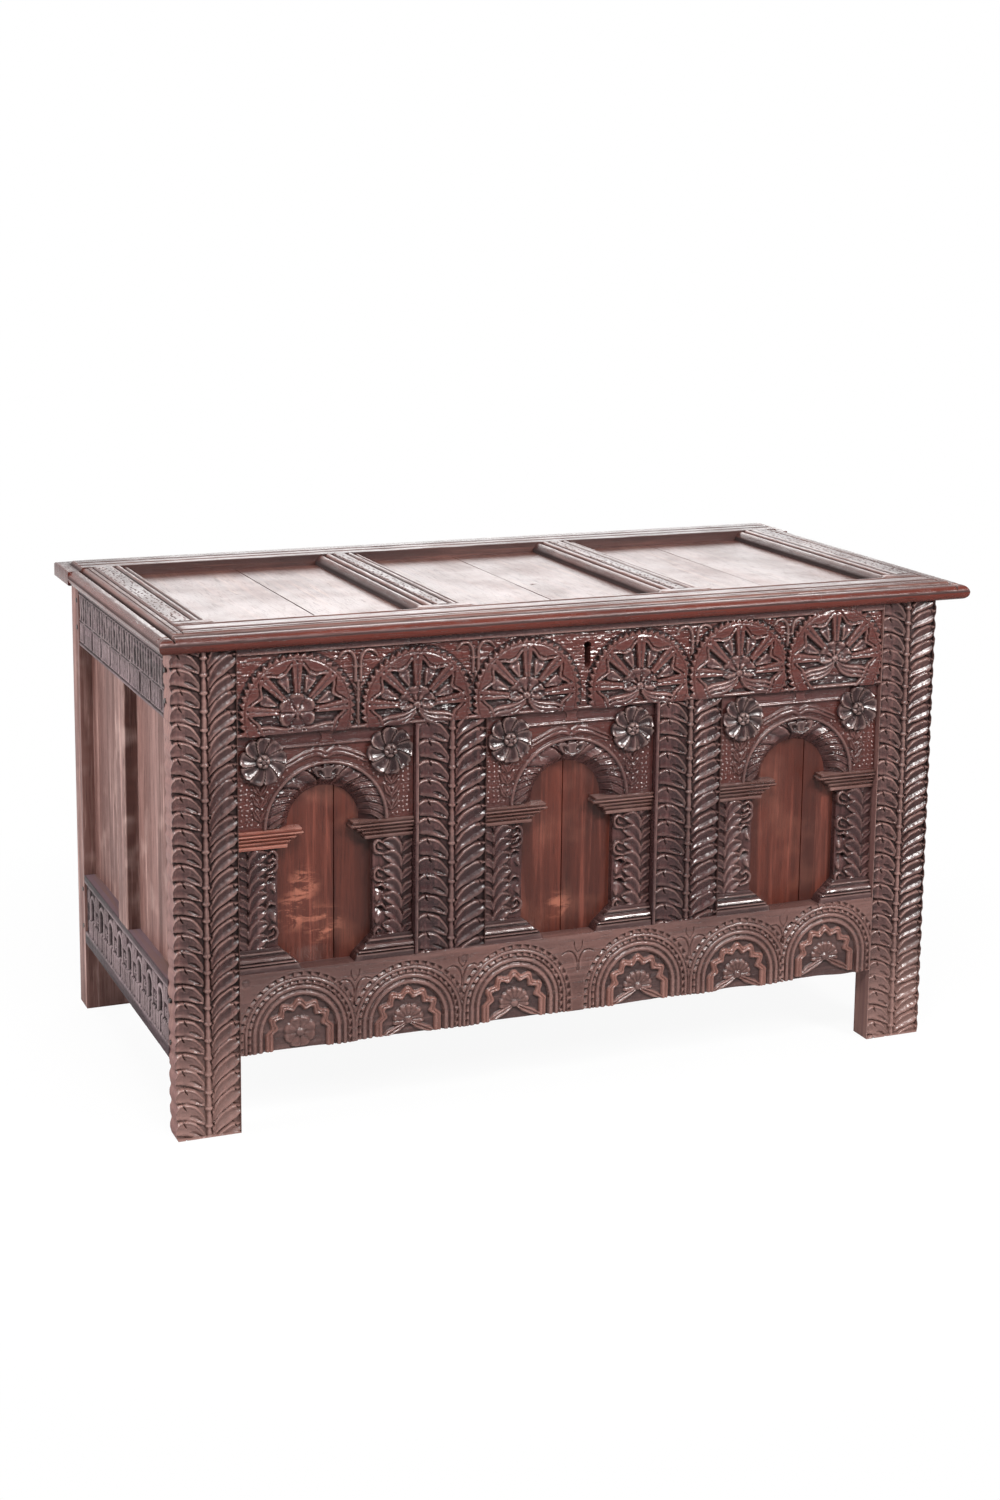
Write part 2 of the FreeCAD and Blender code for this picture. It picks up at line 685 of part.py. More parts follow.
def bottom_carving():
    """In each compartment of the bottom rail, a groove round a field sunk behind a band and a flower."""
    tools = []
    for n, spot in enumerate(spots_along(FOOT, size("front_bottom_rail"), ARCH_SPOTS)):
        standing = [ring(f"arch_wave_{n}", spot, size("arch_wave_radius"), size("arch_wave"), THROUGH),
                    disc(f"arch_flower_{n}", spot, size("arch_flower_radius"), THROUGH)]
        tools.append(cut(f"arch_field_{n}", disc(f"arch_sink_{n}", spot, size("arch_field_radius"), GROUND),
                         standing))
        tools.append(ring(f"arch_groove_{n}", spot, size("arch_ring_radius"), size("arch_ring"), GROUND))
    return tools


def leaf_tool(label, along, up, slope):
    """What is cut away in one column of leaves: a pocket less tilted slats that fall to the right."""
    turn = math.radians(slope)
    rotation = FreeCAD.Rotation(Y_AXIS, slope).multiply(FreeCAD.Rotation(X_AXIS, LEAF_TILT))
    rows = round(number(up[1] - up[0]) / number(LEAF_PITCH)) + SPARE_LEAVES
    spare = LEAF_PITCH / 2
    first = up[0] - LEAF_PITCH * SPARE_LEAVES / 2 + spare * math.tan(turn)
    slats = []
    for n in range(rows):
        slat = doc.addObject("Part::Box", f"{label}_{n}")
        slat.Placement = FreeCAD.Placement(FreeCAD.Vector(), rotation)
        bind(slat, Length=(along[1] - along[0] + spare * 2) / math.cos(turn), Width=THROUGH * 2,
             Height=(THROUGH - size("leaf_crest")) / math.sin(math.radians(LEAF_TILT)))
        put(slat, LEFT + along[0] - spare, FRONT + THROUGH, first + LEAF_PITCH * n)
        slats.append(slat)
    return cut(label, front.block(label + "_pocket", along, (-OVER, GROUND), up), slats)


def leaf_tools(label, along, up, stem):
    """Both columns of leaves of a post, on either side of its stem."""
    half = size("leaf_stem") / 2
    return [leaf_tool(label + "_leaves_left", (along[0], stem - half), up, LEAF_FALL),
            leaf_tool(label + "_leaves_right", (stem + half, along[1]), up, -LEAF_RISE)]


rail(front, "top", front.panel_high, TOP, [front_keyhole, top_carving()] + lock_nail_holes)
rail(front, "bottom", FOOT, front.panel_low, [floor_room] + bottom_carving())
for wall in ends:
    for low, high in ((wall.panel_high, TOP), (FOOT, wall.panel_low)):
        for along in (wall.start - size("peg_inset"), wall.end + size("peg_inset")):
            for height in (low + size("peg_spread"), high - size("peg_spread")):
                wall.peg_points.append((along, height))
    wall.peg_holes = wall.pegs(wall.name + "_peg_hole", size("peg_play"))
    rail(wall, "top", wall.panel_high, TOP, wall.peg_holes)
    rail(wall, "bottom", FOOT, wall.panel_low, wall.peg_holes)
    muntin(wall, wall.name + "_muntin", wall.muntins[0])
    wall.panels(wall.name + "_panels")
group("frame_pegs", [peg for wall in ends for peg in wall.pegs(wall.name + "_peg", NONE)])

for side, (muntin_west, muntin_east) in zip(("left", "right"), front.muntins):
    leaves_up = (front.panel_low + size("muntin_foot"), front.panel_high + OVER)
    leaves_along = (muntin_west + size("muntin_border"), muntin_east + OVER)
    leaves = leaf_tools("muntin_" + side, leaves_along, leaves_up,
                        muntin_west + size("muntin_stem_offset"))
    muntin(front, "front_muntin_" + side, (muntin_west, muntin_east), leaves)

leaf_pockets = []
for n, centre in enumerate(HINGE_CENTRES):
    leaf_pockets.append(block(f"leaf_pocket_{n}", (centre - HALF_WIDTH, centre + HALF_WIDTH),
                              (BACK - PLATE, BACK), (LEAF_TOP - size("hinge_leaf_length"), TOP)))
    leaf_pockets.append(block(f"barrel_pocket_{n}", (centre - HALF_POCKET, centre + HALF_POCKET),
                              (AXIS_Y - POCKET, BACK), (LEAF_TOP, TOP)))
carcass_nail_holes = nail_holes("carcass_nail_hole", "-y", carcass_nail_points())
rail(rear, "top", rear.panel_high, TOP, leaf_pockets + carcass_nail_holes)
rail(rear, "bottom", FOOT, rear.panel_low, [floor_room])
group("rear_muntins", [muntin(rear, f"rear_muntin_{n}", limits) for n, limits in enumerate(rear.muntins)])
rear.panels("rear_panels")

for side, wall in zip(("left", "right"), ends):
    for wall_face, width, depth in ((front, size("front_stile_width"), size("front_stile_depth")),
                                    (rear, size("rear_stile_width"), size("rear_stile_depth"))):
        run = size("carcass_length")
        along = (NONE, width) if side == "left" else (run - width, run)
        name = f"{wall_face.name}_stile_{side}"
        blank = wall_face.block(name + "_blank", along, (NONE, depth), (FLOOR, TOP))
        carving = []
        if wall_face is front:
            carving = leaf_tools(name, (along[0] - OVER, along[1] + OVER), (FLOOR - OVER, TOP + OVER),
                                 along[0] + size("stile_stem_offset"))
        cut(name, blank, wall_face.grooves + wall_face.rail_mortises + wall.grooves + wall.rail_mortises
            + wall.peg_holes + carving)

# ---------------------------------------------------------------- front panels and arcades

PANEL_BACK = front.recess + size("panel_thickness")
IMPOST_TOP = front.panel_high - size("arcade_head")
IMPOST_FOOT = IMPOST_TOP - size("impost_height")
BASE_TOP = front.panel_low + size("base_height")

rosettes = []
keystones = []
for bay_name, (bay_start, bay_end) in zip(BAY_NAMES, front.bays()):
    reach = size("groove_depth") - size("panel_play")
    low = front.panel_low - size("groove_depth")
    high = front.panel_high + reach
    split = bay_start - reach + size(bay_name + "_panel_board")
    boards = [front.block(f"front_board_{bay_name}_0", (bay_start - reach, split),
                          (front.recess, PANEL_BACK), (low, high)),
              front.block(f"front_board_{bay_name}_1", (split + size("board_crack"), bay_end + reach),
                          (front.recess, PANEL_BACK), (low, high))]
    group("front_panel_" + bay_name, boards)

    # arch board and the narrow strip beside it, under the top rail
    side_start = bay_start + size("arcade_gap")
    side_end = bay_end - size("arcade_gap")
    middle = (bay_start + bay_end) / 2
    half_opening = ((bay_end - bay_start) / 2 + size("opening_over_half")) / 2
    arch_radius = half_opening - size("arch_reveal")
    blank = front.block(f"arch_blank_{bay_name}", (side_start, side_end),
                        (size("spandrel_recess"), front.recess), (IMPOST_TOP, front.panel_high))
    board_depth = front.recess - size("spandrel_recess")
    arch = cone(f"arch_opening_{bay_name}", "y",
                (LEFT + middle, FRONT + size("spandrel_recess"), IMPOST_TOP),
                (arch_radius, arch_radius - size("soffit_splay")), board_depth)
    crack_start = bay_start + size("filler_width")
    crack = front.block(f"arch_crack_{bay_name}", (crack_start, crack_start + size("filler_crack")),
                        (size("spandrel_recess"), front.recess), (IMPOST_TOP, front.panel_high))
    cut("arch_board_" + bay_name, blank, [arch, crack])

    # rosettes in the two upper corners and a leaf keystone over the arch
    relief_front = size("spandrel_recess") - size("rosette_relief")
    rosette_height = front.panel_high - size("rosette_drop")
    for n, along in enumerate((bay_start + size("rosette_inset"), bay_end - size("rosette_inset"))):
        centre = (LEFT + along, FRONT + relief_front, rosette_height)
        rosettes.append(rod(f"rosette_{bay_name}_{n}", "y", centre, size("rosette_radius"),
                            size("rosette_relief")))
    key_foot = IMPOST_TOP + arch_radius
    key_half = size("keystone_width") / 2
    key_face = size("spandrel_recess") - size("keystone_relief")
    keystones.append(front.block(f"keystone_{bay_name}", (middle - key_half, middle + key_half),
                                 (key_face, size("spandrel_recess")),
                                 (key_foot, key_foot + size("keystone_height"))))

    # pilasters with their imposts and bases, left and right of the opening
    pilaster_width = middle - half_opening - side_start
    shaft_limits = ((side_start, middle - half_opening), (middle + half_opening, side_end))
    shafts = [front.block(f"pilaster_{bay_name}_{n}", limits, (size("pilaster_recess"), front.recess),
                          (BASE_TOP, IMPOST_FOOT)) for n, limits in enumerate(shaft_limits)]
    group("pilasters_" + bay_name, shafts)

    top_width = pilaster_width + size("impost_top_reach")
    foot_width = pilaster_width + size("impost_foot_reach")
    rise = size("impost_height")
    slope = top_width - foot_width
    impost_depth = front.recess - size("impost_recess")
    impost_y = FRONT + size("impost_recess")
    left_impost = padded(f"impost_{bay_name}_0", "XZ_Plane",
                         [(0, 0), (foot_width, 0), (top_width, rise), (0, rise)],
                         impost_depth, (LEFT + side_start, impost_y, IMPOST_FOOT), backwards=True)
    right_impost = padded(f"impost_{bay_name}_1", "XZ_Plane",
                          [(slope, 0), (top_width, 0), (top_width, rise), (0, rise)],
                          impost_depth, (LEFT + side_end - top_width, impost_y, IMPOST_FOOT), backwards=True)
    group("imposts_" + bay_name, [left_impost, right_impost])

    base_foot = pilaster_width + size("base_reach")
    base_rise = size("base_height")
    base_depth = front.recess - size("base_recess")
    base_y = FRONT + size("base_recess")
    left_base = padded(f"base_{bay_name}_0", "XZ_Plane",
                       [(0, 0), (base_foot, 0), (pilaster_width, base_rise), (0, base_rise)],
                       base_depth, (LEFT + side_start, base_y, front.panel_low), backwards=True)
    right_base = padded(f"base_{bay_name}_1", "XZ_Plane",
                        [(0, 0), (base_foot, 0), (base_foot, base_rise), (size("base_reach"), base_rise)],
                        base_depth, (LEFT + side_end - base_foot, base_y, front.panel_low), backwards=True)
    group("pilaster_bases_" + bay_name, [left_base, right_base])

group("rosettes", rosettes)
group("keystones", keystones)

# ---------------------------------------------------------------- floor

board_count = int(number(size("floor_board_count")))
board_pitch = (FLOOR_RIGHT - FLOOR_LEFT) / size("floor_board_count")
notches = []
for side, limits in (("left", (LEFT, LEFT + size("front_stile_width"))),
                     ("right", (RIGHT - size("front_stile_width"), RIGHT))):
    notches.append(block(f"floor_notch_front_{side}", limits,
                         (FRONT, FRONT + size("front_stile_depth") + size("joint_play")), (FOOT, TOP)))
for side, limits in (("left", (LEFT, LEFT + size("rear_stile_width"))),
                     ("right", (RIGHT - size("rear_stile_width"), RIGHT))):
    notches.append(block(f"floor_notch_rear_{side}", limits,
                         (BACK - size("rear_stile_depth") - size("joint_play"), BACK), (FOOT, TOP)))
boards = []
for n in range(board_count):
    start = FLOOR_LEFT + board_pitch * n
    across = (start + size("floor_crack") / 2, start + board_pitch - size("floor_crack") / 2)
    blank = block(f"floor_board_blank_{n}", across, (FLOOR_FRONT, FLOOR_BACK), (FLOOR_LOW, FLOOR_HIGH))
    boards.append(cut(f"floor_board_{n}", blank, notches))
group("floor_boards", boards)

# ---------------------------------------------------------------- lid

LID_LENGTH = size("carcass_length") + size("lid_end_overhang") * 2
LID_LEFT = -LID_LENGTH / 2
LID_RIGHT = LID_LENGTH / 2
LID_FRONT = FRONT - size("lid_front_overhang")
LID_BACK = BACK + size("lid_rear_overhang")
LID_EDGE = TOP + size("lid_edge_thickness")
LID_TOP = TOP + size("lid_frame_thickness")
NOSE = size("lid_nose_width")
NOSE_RADIUS = (size("lid_edge_thickness") - size("lid_nose_flat")) / 2
INNER_FRONT = LID_FRONT + size("lid_front_rail")
INNER_BACK = LID_BACK - size("lid_rear_rail")
PANEL_LOW = TOP + size("lid_panel_lip")
PANEL_TOP = PANEL_LOW + size("lid_panel_thickness")
LID_TENON_LOW = PANEL_TOP + size("joint_play") + size("tenon_gap")
LID_TENON_HIGH = LID_TENON_LOW + size("lid_tenon_thickness")

lid_bay = (LID_LENGTH - size("lid_stile_width") * 2 - size("lid_muntin_width") * muntin_count) / bay_count
LID_BAYS = []
for place in range(bay_count):
    start = LID_LEFT + size("lid_stile_width") + (lid_bay + size("lid_muntin_width")) * place
    LID_BAYS.append((start, start + lid_bay))

lid_grooves = []
for name, (start, end) in zip(BAY_NAMES, LID_BAYS):
    reach = size("groove_depth")
    lid_grooves.append(block(f"lid_groove_{name}", (start - reach, end + reach),
                             (INNER_FRONT - reach, INNER_BACK + reach),
                             (PANEL_LOW, PANEL_TOP + size("joint_play"))))
    tongue = reach - size("panel_play")
    split = start - tongue + size(f"lid_{name}_board")
    front_and_back = (INNER_FRONT - tongue, INNER_BACK + tongue)
    group("lid_panel_" + name, [
        block(f"lid_board_{name}_0", (start - tongue, split), front_and_back, (PANEL_LOW, PANEL_TOP)),
        block(f"lid_board_{name}_1", (split + size("board_crack"), end + tongue), front_and_back,
              (PANEL_LOW, PANEL_TOP))])

CROSSPIECES = [("lid_stile_left", LID_LEFT, LID_BAYS[0][0]),
               ("lid_muntin_left", LID_BAYS[0][1], LID_BAYS[1][0]),
               ("lid_muntin_right", LID_BAYS[1][1], LID_BAYS[2][0]),
               ("lid_stile_right", LID_BAYS[2][1], LID_RIGHT)]


def lid_tenons(label, start, end, play):
    """The bar of wood that makes both tenons of a crosspiece, or their mortises."""
    reach = size("tenon_length") + play
    inset = size("tenon_shoulder")
    west = start + (NOSE if label.startswith("lid_stile_left") else inset)
    east = end - (NOSE if label.startswith("lid_stile_right") else inset)
    return block(label, (west, east), (INNER_FRONT - reach, INNER_BACK + reach),
                 (LID_TENON_LOW, LID_TENON_HIGH))


lid_mortises = [lid_tenons(name + "_mortise", start, end, size("joint_play"))
                for name, start, end in CROSSPIECES]

frame_rise = size("lid_frame_thickness")
edge_rise = size("lid_edge_thickness")
slope_width = size("lid_moulding_width")
slope_foot = frame_rise - size("lid_moulding_drop")
SAME_PLACE = 1e-6


def crosspiece_section(name, width):
    """The section of a crosspiece: a sloping moulding on each side with a panel, else a squared edge."""
    left_side = [(NOSE, frame_rise), (NOSE, edge_rise), (0, edge_rise)]
    if name != "lid_stile_left":
        left_side = [(slope_width, frame_rise), (0, slope_foot)]
    right_side = [(width, edge_rise), (width - NOSE, edge_rise), (width - NOSE, frame_rise)]
    if name != "lid_stile_right":
        right_side = [(width, slope_foot), (width - slope_width, frame_rise)]
    return [(0, 0), (width, 0)] + right_side + left_side


def runs_along(edge, axis):
    """Whether a straight edge lies along this axis."""
    start = edge.Vertexes[0].Point
    end = edge.Vertexes[-1].Point
    return abs(abs(getattr(end - start, axis)) - edge.Length) < SAME_PLACE


for name, start, end in CROSSPIECES:
    width = end - start
    crosspiece = padded(name + "_section", "XZ_Plane", crosspiece_section(name, width),
                        INNER_BACK - INNER_FRONT, (start, INNER_FRONT, TOP), backwards=True)
    if "stile" in name:
        outer_x = 0 if name == "lid_stile_left" else number(width)
        rounded(crosspiece, lambda edge: runs_along(edge, "y")
                and abs(edge.CenterOfMass.x - outer_x) < SAME_PLACE, NOSE_RADIUS)
    whole = join(name + "_with_tenons", [crosspiece, lid_tenons(name + "_tenons", start, end, NONE)])
    cut(name, whole, lid_grooves)

strap_pockets = []
for n, centre in enumerate(HINGE_CENTRES):
    strap_pockets.append(block(f"strap_pocket_{n}", (centre - HALF_WIDTH, centre + HALF_WIDTH),
                               (STRAP_BACK - size("hinge_strap"), AXIS_Y), (TOP, TOP + PLATE)))
    strap_pockets.append(block(f"lid_barrel_pocket_{n}", (centre - HALF_POCKET, centre + HALF_POCKET),
                               (STRAP_BACK, AXIS_Y + POCKET), (TOP, AXIS_Z + POCKET)))
lid_nail_holes = nail_holes("lid_nail_hole", "z", lid_nail_points())

ledge = padded("lid_front_ledge", "XY_Plane",
               [(0, 0), (LID_LENGTH, 0), (LID_LENGTH, size("lid_front_rail")), (0, size("lid_front_rail"))],
               size("lid_edge_thickness"), (LID_LEFT, LID_FRONT, TOP))
rounded(ledge, lambda edge: (runs_along(edge, "x") and abs(edge.CenterOfMass.y) < SAME_PLACE)
        or runs_along(edge, "y"), NOSE_RADIUS)
band_width = size("lid_front_rail") - NOSE
band = padded("lid_front_band", "YZ_Plane",
              [(0, 0), (band_width, 0), (band_width, slope_foot), (band_width - slope_width, frame_rise),
               (0, frame_rise)],
              LID_LENGTH - NOSE * 2, (LID_LEFT + NOSE, LID_FRONT + NOSE, TOP))
staple_half_plate = size("staple_plate_length") / 2
staple_y = (LOCK_MIDDLE_Y - size("staple_plate_depth") / 2, LOCK_MIDDLE_Y + size("staple_plate_depth") / 2)
staple_pocket = block("staple_pocket", (KEY_X - staple_half_plate, KEY_X + staple_half_plate), staple_y,
                      (TOP, TOP + PLATE))
cut("lid_front_rail", join("lid_front_rail_blank", [ledge, band]),
    lid_grooves + lid_mortises + [staple_pocket])

rear_ledge = block("lid_rear_ledge", (LID_LEFT, LID_RIGHT), (INNER_BACK, LID_BACK), (TOP, LID_EDGE))
rear_band = block("lid_rear_band", (LID_LEFT + NOSE, LID_RIGHT - NOSE),
                  (INNER_BACK, LID_BACK - size("lid_rear_ledge")), (TOP, LID_TOP))
cut("lid_rear_rail", join("lid_rear_rail_blank", [rear_ledge, rear_band]),
    lid_grooves + lid_mortises + strap_pockets + lid_nail_holes)

# ---------------------------------------------------------------- hinges

HALF_KNUCKLE = size("hinge_knuckle") / 2
OUTER_KNUCKLE = HALF_WIDTH - HALF_KNUCKLE - size("hinge_side_play")


def knuckle(label, west, length):
    """One barrel of a hinge, along its axis."""
    return rod(label, "x", (west, AXIS_Y, AXIS_Z), BARREL, length)


carcass_leaves = []
lid_leaves = []
pins = []
for n, centre in enumerate(HINGE_CENTRES):
    west = centre - HALF_WIDTH
    bore = rod(f"hinge_bore_{n}", "x", (west, AXIS_Y, AXIS_Z),
               size("hinge_pin_radius") + size("hinge_pin_play"), size("hinge_width"))
    outer_starts = (west, centre + HALF_WIDTH - OUTER_KNUCKLE)
    plate = block(f"carcass_leaf_plate_{n}", (west, centre + HALF_WIDTH), (BACK - PLATE, BACK),
                  (LEAF_TOP - size("hinge_leaf_length"), LEAF_TOP))
    ears = [block(f"carcass_leaf_ear_{n}_{k}", (start, start + OUTER_KNUCKLE), (BACK - PLATE, BACK),
                  (LEAF_TOP, AXIS_Z)) for k, start in enumerate(outer_starts)]
    barrels = [knuckle(f"carcass_knuckle_{n}_{k}", start, OUTER_KNUCKLE)
               for k, start in enumerate(outer_starts)]
    holes = nail_holes(f"carcass_leaf_hole_{n}", "-y", carcass_nail_points()[2 * n:2 * n + 2])
    carcass_leaves.append(cut(f"carcass_leaf_{n}", join(f"carcass_leaf_blank_{n}", [plate] + ears + barrels),
                              [bore] + holes))

    strap = block(f"lid_leaf_plate_{n}", (west, centre + HALF_WIDTH),
                  (STRAP_BACK - size("hinge_strap"), STRAP_BACK), (TOP, TOP + PLATE))
    tongue = block(f"lid_leaf_tongue_{n}", (centre - HALF_KNUCKLE, centre + HALF_KNUCKLE),
                   (STRAP_BACK, AXIS_Y), (TOP, TOP + PLATE))
    middle_barrel = knuckle(f"lid_knuckle_{n}", centre - HALF_KNUCKLE, size("hinge_knuckle"))
    holes = nail_holes(f"lid_leaf_hole_{n}", "z", lid_nail_points()[2 * n:2 * n + 2])
    lid_leaves.append(cut(f"lid_leaf_{n}", join(f"lid_leaf_blank_{n}", [strap, tongue, middle_barrel]),
                          [bore] + holes))
    pins.append(rod(f"hinge_pin_{n}", "x", (west, AXIS_Y, AXIS_Z), size("hinge_pin_radius"),
                    size("hinge_width")))

group("hinge_leaves_carcass", carcass_leaves)
group("hinge_leaves_lid", lid_leaves)
group("hinge_pins", pins)
nails("hinge_nails_carcass", "-y", carcass_nail_points())
nails("hinge_nails_lid", "z", lid_nail_points())

# ---------------------------------------------------------------- lock

WALL = size("lock_wall")
case_blank = block("lock_case_blank", (LOCK_LEFT, LOCK_RIGHT), (LOCK_FRONT, LOCK_BACK),
                   (LOCK_FOOT, LOCK_TOP))
flange = block("lock_flanges", (LOCK_LEFT - size("lock_flange"), LOCK_RIGHT + size("lock_flange")),
               (LOCK_FRONT, LOCK_FRONT + WALL), (LOCK_FOOT, LOCK_TOP))
hollow = block("lock_hollow", (LOCK_LEFT + WALL, LOCK_RIGHT - WALL), (LOCK_FRONT + WALL, LOCK_BACK - WALL),
               (LOCK_FOOT + WALL, LOCK_TOP - WALL))
half_staple = size("staple_thickness") / 2
staple_room = half_staple + size("staple_play")
staple_depth = size("staple_width") / 2
mouth_depth = staple_depth + size("staple_play")
mouth = block("lock_mouth", (KEY_X - staple_room, KEY_X + staple_room),
              (LOCK_MIDDLE_Y - mouth_depth, LOCK_MIDDLE_Y + mouth_depth), (LOCK_TOP - WALL, LOCK_TOP))
BOLT_TIP = KEY_X - half_staple - size("bolt_gap")
BOLT_END = LOCK_LEFT - size("bolt_tail")
half_bolt = size("bolt_width") / 2
half_rise = size("bolt_height") / 2


def bolt_bar(label, west, east, play):
    """A bar of the bolt's section, with this much play round it."""
    return block(label, (west, east),
                 (LOCK_MIDDLE_Y - half_bolt - play, LOCK_MIDDLE_Y + half_bolt + play),
                 (BOLT_Z - half_rise - play, BOLT_Z + half_rise + play))


bolt_play = size("bolt_play")
bolt_room = bolt_bar("bolt_room", BOLT_END, BOLT_TIP, bolt_play)
guide_end = BOLT_TIP - size("bolt_gap")
guide = block("bolt_guide", (guide_end - size("bolt_guide"), guide_end),
              (LOCK_FRONT + WALL, LOCK_BACK - WALL),
              (BOLT_Z - size("bolt_height"), BOLT_Z + size("bolt_height")))
case_shell = cut("lock_case_shell", join("lock_case_plates", [case_blank, flange]),
                 [hollow, mouth, keyhole("case_keyhole", LOCK_FRONT, WALL)]
                 + nail_holes("case_nail_hole", "-y", lock_nail_points()))
cut("lock_case", join("lock_case_with_guide", [case_shell, guide]), [bolt_room])
bolt_bar("lock_bolt", BOLT_END, BOLT_TIP, NONE)
nails("lock_nails", "-y", lock_nail_points())

staple_plate = block("staple_plate", (KEY_X - staple_half_plate, KEY_X + staple_half_plate), staple_y,
                     (TOP, TOP + PLATE))
shank = block("staple_shank", (KEY_X - half_staple, KEY_X + half_staple),
              (LOCK_MIDDLE_Y - staple_depth, LOCK_MIDDLE_Y + staple_depth), (TOP - size("staple_drop"), TOP))
eye = bolt_bar("staple_eye", KEY_X - half_staple, KEY_X + half_staple, size("staple_play"))
cut("lock_staple", join("lock_staple_blank", [staple_plate, shank]), [eye])

# ---------------------------------------------------------------- checks and files

NODES = (
    [f"{row}_stile_{side}" for row in ("front", "rear") for side in ("left", "right")]
    + [f"{wall.name}_{which}_rail" for wall in [front, rear] + ends for which in ("top", "bottom")]
    + ["front_muntin_left", "front_muntin_right", "rear_muntins", "rear_panels"]
    + [f"{wall.name}_{piece}" for wall in ends for piece in ("muntin", "panels")]
    + [f"{piece}_{bay}" for piece in ("front_panel", "arch_board", "pilasters", "imposts", "pilaster_bases")
       for bay in BAY_NAMES]
    + ["rosettes", "keystones", "frame_pegs", "floor_boards"]
    + ["lid_front_rail", "lid_rear_rail", "lid_stile_left", "lid_stile_right", "lid_muntin_left",
       "lid_muntin_right", "lid_panel_left", "lid_panel_centre", "lid_panel_right"]
    + ["hinge_leaves_carcass", "hinge_leaves_lid", "hinge_pins", "hinge_nails_carcass", "hinge_nails_lid"]
    + ["lock_case", "lock_bolt", "lock_nails", "lock_staple"]
)

doc.recompute()
for item in doc.Objects:
    if "Invalid" in item.State or "Error" in item.State:
        raise RuntimeError(f"{item.Label} did not build: {item.State}")

os.makedirs("parts", exist_ok=True)
for node in NODES:
    found = doc.getObjectsByLabel(node)
    if len(found) != 1:
        raise RuntimeError(f"{node}: {len(found)} objects carry this label")
    shape = found[0].Shape
    if shape.isNull() or not shape.isValid():
        raise RuntimeError(f"{node} has no valid shape")
for node in NODES:
    doc.getObjectsByLabel(node)[0].Shape.exportStep(f"parts/{node}.step")
print(f"{len(NODES)} nodes written")
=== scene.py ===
"""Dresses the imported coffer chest: carved and moulded oak, iron fittings, a plain studio and the camera.

Every carved or moulded face is real relief: a grid of heights in millimetres over the face of its own
board, closed at the edges and the back, and riding on the carcass or on the lid.
"""

from __future__ import annotations

import logging
import math
from collections.abc import Callable, Iterable, Sequence
from dataclasses import dataclass, field
from enum import Enum

import bpy
import numpy as np
from mathutils import Matrix, Vector

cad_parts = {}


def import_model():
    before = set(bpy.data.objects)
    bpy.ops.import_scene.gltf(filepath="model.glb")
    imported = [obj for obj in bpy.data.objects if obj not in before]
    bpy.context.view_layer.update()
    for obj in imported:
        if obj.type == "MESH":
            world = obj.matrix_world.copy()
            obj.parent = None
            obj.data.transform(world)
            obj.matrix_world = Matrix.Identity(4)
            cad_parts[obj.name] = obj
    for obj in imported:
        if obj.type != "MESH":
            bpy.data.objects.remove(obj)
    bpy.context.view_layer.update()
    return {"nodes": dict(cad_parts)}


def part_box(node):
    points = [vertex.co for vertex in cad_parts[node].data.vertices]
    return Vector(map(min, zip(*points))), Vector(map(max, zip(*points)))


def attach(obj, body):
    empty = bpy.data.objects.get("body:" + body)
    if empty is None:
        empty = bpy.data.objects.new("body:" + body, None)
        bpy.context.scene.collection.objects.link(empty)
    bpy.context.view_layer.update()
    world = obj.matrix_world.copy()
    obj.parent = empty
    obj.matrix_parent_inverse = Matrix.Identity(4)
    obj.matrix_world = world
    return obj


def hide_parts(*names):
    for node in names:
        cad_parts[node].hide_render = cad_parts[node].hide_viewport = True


LOG = logging.getLogger("coffer")
MM = 0.001
Array = np.ndarray
Window = tuple[slice, slice]
Point = tuple[float, float]
Triple = tuple[float, float, float]
Spot = tuple[float, float, float, float]
WHOLE: Window = (slice(None), slice(None))
WAYS = (-1, 1)
LEAF_PITCH = 26.79
Dice = np.random.Generator


# ---- small maths


def bump(x: Array, centre: float, half: float) -> Array:
    """A rounded hump of height 1 around a centre, 0 beyond half to each side."""
    return np.clip(1 - ((x - centre) / half) ** 2, 0, 1)


def step(x: Array, low: float, high: float) -> Array:
    """A smooth rise from 0 at low to 1 at high."""
    t = np.clip((x - low) / (high - low), 0, 1)
    return t * t * (3 - 2 * t)


def band(x: Array, low: float, high: float, soft: float = 1.0) -> Array:
    """1 between two limits, with soft shoulders inside them."""
    return step(x, low, low + soft) * (1 - step(x, high - soft, high))


def blurred(values: Array, cells: int) -> Array:
    """A grid averaged twice over a square.

    Args:
        values: The grid.
        cells: How many neighbours on each side are in the square.

    Returns:
        The averaged grid.
    """
    out = values
    for axis in (0, 1, 0, 1):
        pad = [(cells + 1, cells) if k == axis else (0, 0) for k in (0, 1)]
        total = np.cumsum(np.pad(out, pad, mode="edge"), axis=axis)
        ahead = np.take(total, range(2 * cells + 1, total.shape[axis]), axis=axis)
        behind = np.take(total, range(0, total.shape[axis] - 2 * cells - 1), axis=axis)
        out = (ahead - behind) / (2 * cells + 1)
    return out


